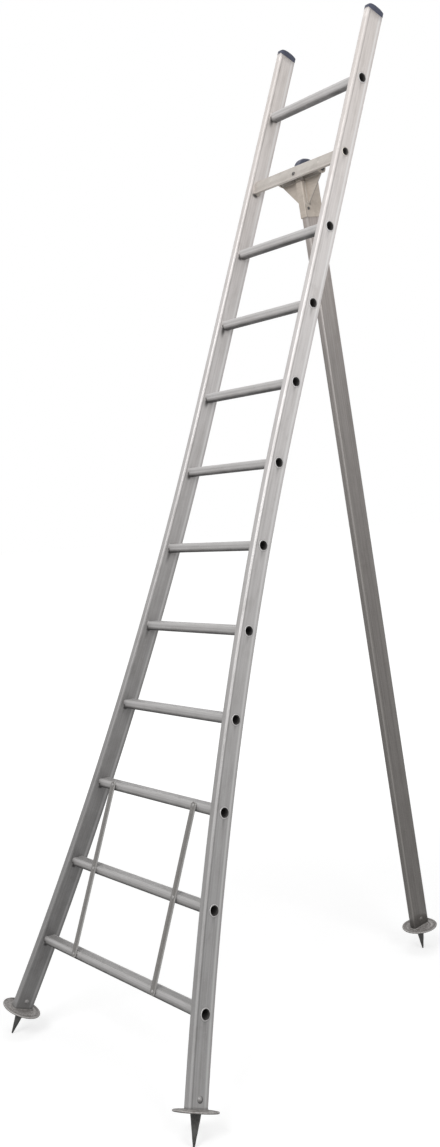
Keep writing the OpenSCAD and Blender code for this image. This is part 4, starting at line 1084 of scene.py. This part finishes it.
def sleeveShell():
    # folded box outline carried down the leg
    marks = sleeveWearAndShade
    half, deep, corner = bracket["sleeveHalf"], bracket["sleeveDepth"], bracket["sleeveCorner"]
    top, bottom, drop = bracket["sleeveTop"], bracket["sleeveBottom"], bracket["drop"]
    line, shine = roundedOutline(2 * half, deep, corner, 8, 24, 6)
    across, back = np.abs(line[:, 0]), line[:, 1] + leg["offset"]
    down = np.r_[top, np.linspace(top + 3, bottom - 3, 22), bottom - 1, bottom][:, None]
    local = np.stack(np.broadcast_arrays(line[:, 0], back, -down), -1)
    # painted shade: in the folds below the gussets, behind the gussets and along the lower rim
    front = line[:, 1] < corner - deep / 2 + 2
    foldShade = marks["foldShade"] * bell(across, half - marks["foldIn"], marks["foldWidth"]) * front
    shade = marks["shade"] * bell(back, marks["shadeBack"], marks["shadeWidth"]) * ~front
    grimeAndShade = highest(foldShade * (down > drop - marks["overlap"]), shade * (down < drop + marks["overlap"]),
                    marks["rim"] * bell(down, bottom, marks["rimWidth"]))
    # painted light on the strips between the front and the gussets, and a painted highlight along the corners
    litStrip = (across > half - marks["foldIn"]) & (back < 0)
    edge = np.maximum(marks["corner"] * shine, marks["litStrip"] * litStrip * (down < drop))
    lay = np.stack(np.broadcast_arrays(walked(line), down * mm), -1)
    return Shell(legPlace.put(local), lay, grimeAndShade, edge).flipped()


makePiece("legSleeveFold", [sleeveShell()], "rear_leg", hingeMetal, ["leg_sleeve"], sharp=40,
          wall=bracket["wall"], closed=False)
tongueHalf = bracket["sleeveHalf"] - bracket["sleeveCorner"]
tongueCorners = boxCorners(-tongueHalf, tongueHalf, -bracket["sleeveTop"] - 1, -bracket["tongueTop"])
tongueRadii = [bracket["tongueSoft"]] * 2 + [bracket["tongueRound"]] * 2
tongueFront = bracket["sleeveDepth"] / 2 - leg["offset"] - bracket["wall"] / 2
tongueShell = outlinePlate(tongueCorners, tongueRadii, frontLeg.at(0, 0, tongueFront), bracket["wall"],
                           bracket["tongueSoft"])
makePiece("sleeveTongue", [tongueShell], "rear_leg", hingeMetal)
sleeveHeads, seams = [], []
for side in sides.values():
    face = side * (bracket["sleeveHalf"] + bracket["seat"])
    place = legPlace.at(face, -bracket["boltAhead"], -bracket["bolt"]).sideways(side)
    sleeveHeads.append(buttonHead(place, bracket["boltRadius"], bracket["boltHeight"], bracket["boltSocket"]))
    # welds beside the sleeve and under the barrel, on both faces of the gusset
    gap = bracket["weldGap"]
    down = np.linspace(-bracket["sleeveTop"] - 2, -bracket["drop"] + 3, weld["pathSteps"])
    across = np.linspace(side * (bracket["inner"] + 2), side * (bracket["barrelHalf"] - 3), weld["pathSteps"])
    for face in (-bracket["plateThick"] - gap, gap):
        roof = -math.sqrt((bracket["barrel"] + gap) ** 2 - face ** 2)
        for path in ((side * (bracket["inner"] + gap), face, down), (across, face, roof)):
            path = np.stack(np.broadcast_arrays(*path), -1)
            seams.append(weldBead(legPlace.put(path), legPlace.axes[1]))
    # and round the barrel beside the leg
    angle = np.linspace(0, turn, weld["ringSteps"])
    ring = bracket["ringRadius"] * np.c_[np.cos(angle), np.sin(angle)]
    path = np.c_[np.full(len(ring), side * bracket["ringOut"]), ring]
    seams.append(weldBead(legPlace.put(path), legPlace.axes[0]))
makePiece("sleeveBoltHeads", sleeveHeads, "rear_leg", zincSteel, ["sleeve_bolt"])
makePiece("bracketWelds", seams, "rear_leg", weldMetal, sharp=60)
print("hinge made")

for node in ("stop_pad", "bush_left", "bush_right", "foot_plug_left", "foot_plug_right", "leg_foot_plug"):
    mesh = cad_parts[node].data
    mesh.materials.clear()
    mesh.materials.append(darkNylon)
print("carried nodes dressed")

# the photograph's camera as a plain lens
view = dict(place=(2.77257, -2.30578, 1.54980), azimuth=51.7804, pitch=-2.8486, roll=-3.7436, focal=1173.8,
            tall=1147.0, sensor=36.0, far=200.0)
az, el, roll = (math.radians(view[key]) for key in ("azimuth", "pitch", "roll"))
forward = np.array([-math.sin(az) * math.cos(el), math.cos(az) * math.cos(el), math.sin(el)])
level = np.array([math.cos(az), math.sin(az), 0])
right = level * math.cos(roll) + np.cross(level, forward) * math.sin(roll)
matrix = np.eye(4)
matrix[:3] = np.c_[right, np.cross(right, forward), -forward, view["place"]]
camera = bpy.data.objects.new("photoCamera", bpy.data.cameras.new("photoCamera"))
bpy.context.scene.collection.objects.link(camera)
camera.matrix_world = Matrix(matrix.tolist())
camera.data.sensor_fit, camera.data.sensor_width = "AUTO", view["sensor"]
camera.data.lens = view["focal"] / view["tall"] * view["sensor"]
camera.data.clip_end = view["far"]
bpy.context.scene.camera = camera

light = dict(ambient=0.31, floorColour=(0.5, 0.5, 0.5), liftNear=0.66, liftFar=0.90, fadeStart=1.0,
             fadeEnd=4.0, aim=(0, 0, 1.5), floorHalf=60.0, floorDrop=0.0005,
             lamps=[("keyLamp", (1.8, -5.0, 5.4), 3.4, 208), ("topLamp", (-0.6, 0.8, 7.0), 4.0, 65),
                    ("fillLamp", (3.3, -0.5, 2.5), 1.6, 44)])
for lampName, place, size, watts in light["lamps"]:
    data = bpy.data.lights.new(lampName, "AREA")
    data.size, data.energy = size, watts
    lamp = bpy.data.objects.new(lampName, data)
    bpy.context.scene.collection.objects.link(lamp)
    lamp.location = place
    aim = Vector(light["aim"]) - Vector(place)
    lamp.rotation_euler = aim.to_track_quat("-Z", "Y").to_euler()


def seenRay(wire):
    # 1 where the eye, a reflection or a clear body looks at the surroundings
    eye, glossy, clear = (wire.node("ShaderNodeLightPath", out=key)
                          for key in ("Is Camera Ray", "Is Glossy Ray", "Is Transmission Ray"))
    return wire.maths("MAXIMUM", wire.maths("MAXIMUM", eye, glossy), clear)


world = bpy.data.worlds.new("studio")
bpy.context.scene.world = world
world.use_nodes = True
world.node_tree.nodes.clear()
sky = Wire(world.node_tree)
strength = light["ambient"] + seenRay(sky) * (1 - light["ambient"])
background = sky.node("ShaderNodeBackground", None, {"Color": (1, 1, 1, 1), "Strength": strength})
sky.node("ShaderNodeOutputWorld", None, {"Surface": background})

floorFinish, ground = newFinish("paleFloor")
diffuse = ground.node("ShaderNodeBsdfDiffuse", None, {"Color": (*light["floorColour"], 1)})
away = ground.node("ShaderNodeVectorMath", {"operation": "LENGTH"}, {0: objectPlace(ground)}, out="Value")
lift = away.between(light["fadeStart"], light["fadeEnd"]) * (light["liftFar"] - light["liftNear"])
strength = seenRay(ground) * (light["liftNear"] + lift)
glow = ground.node("ShaderNodeEmission", None, {"Color": (1, 1, 1, 1), "Strength": strength})
both = ground.node("ShaderNodeAddShader", None, {0: diffuse, 1: glow})
ground.node("ShaderNodeOutputMaterial", None, {"Surface": both})
floorMesh = bpy.data.meshes.new("floor")
floorCorners = boxCorners(-light["floorHalf"], light["floorHalf"], -light["floorHalf"], light["floorHalf"])
floorMesh.from_pydata([(x, y, -light["floorDrop"]) for x, y in floorCorners], [], [(0, 1, 2, 3)])
floorMesh.materials.append(floorFinish)
floor = bpy.data.objects.new("floor", floorMesh)
bpy.context.scene.collection.objects.link(floor)
bpy.context.scene.view_settings.view_transform = "Standard"
print("camera, lamps and floor made")

bpy.context.view_layer.update()
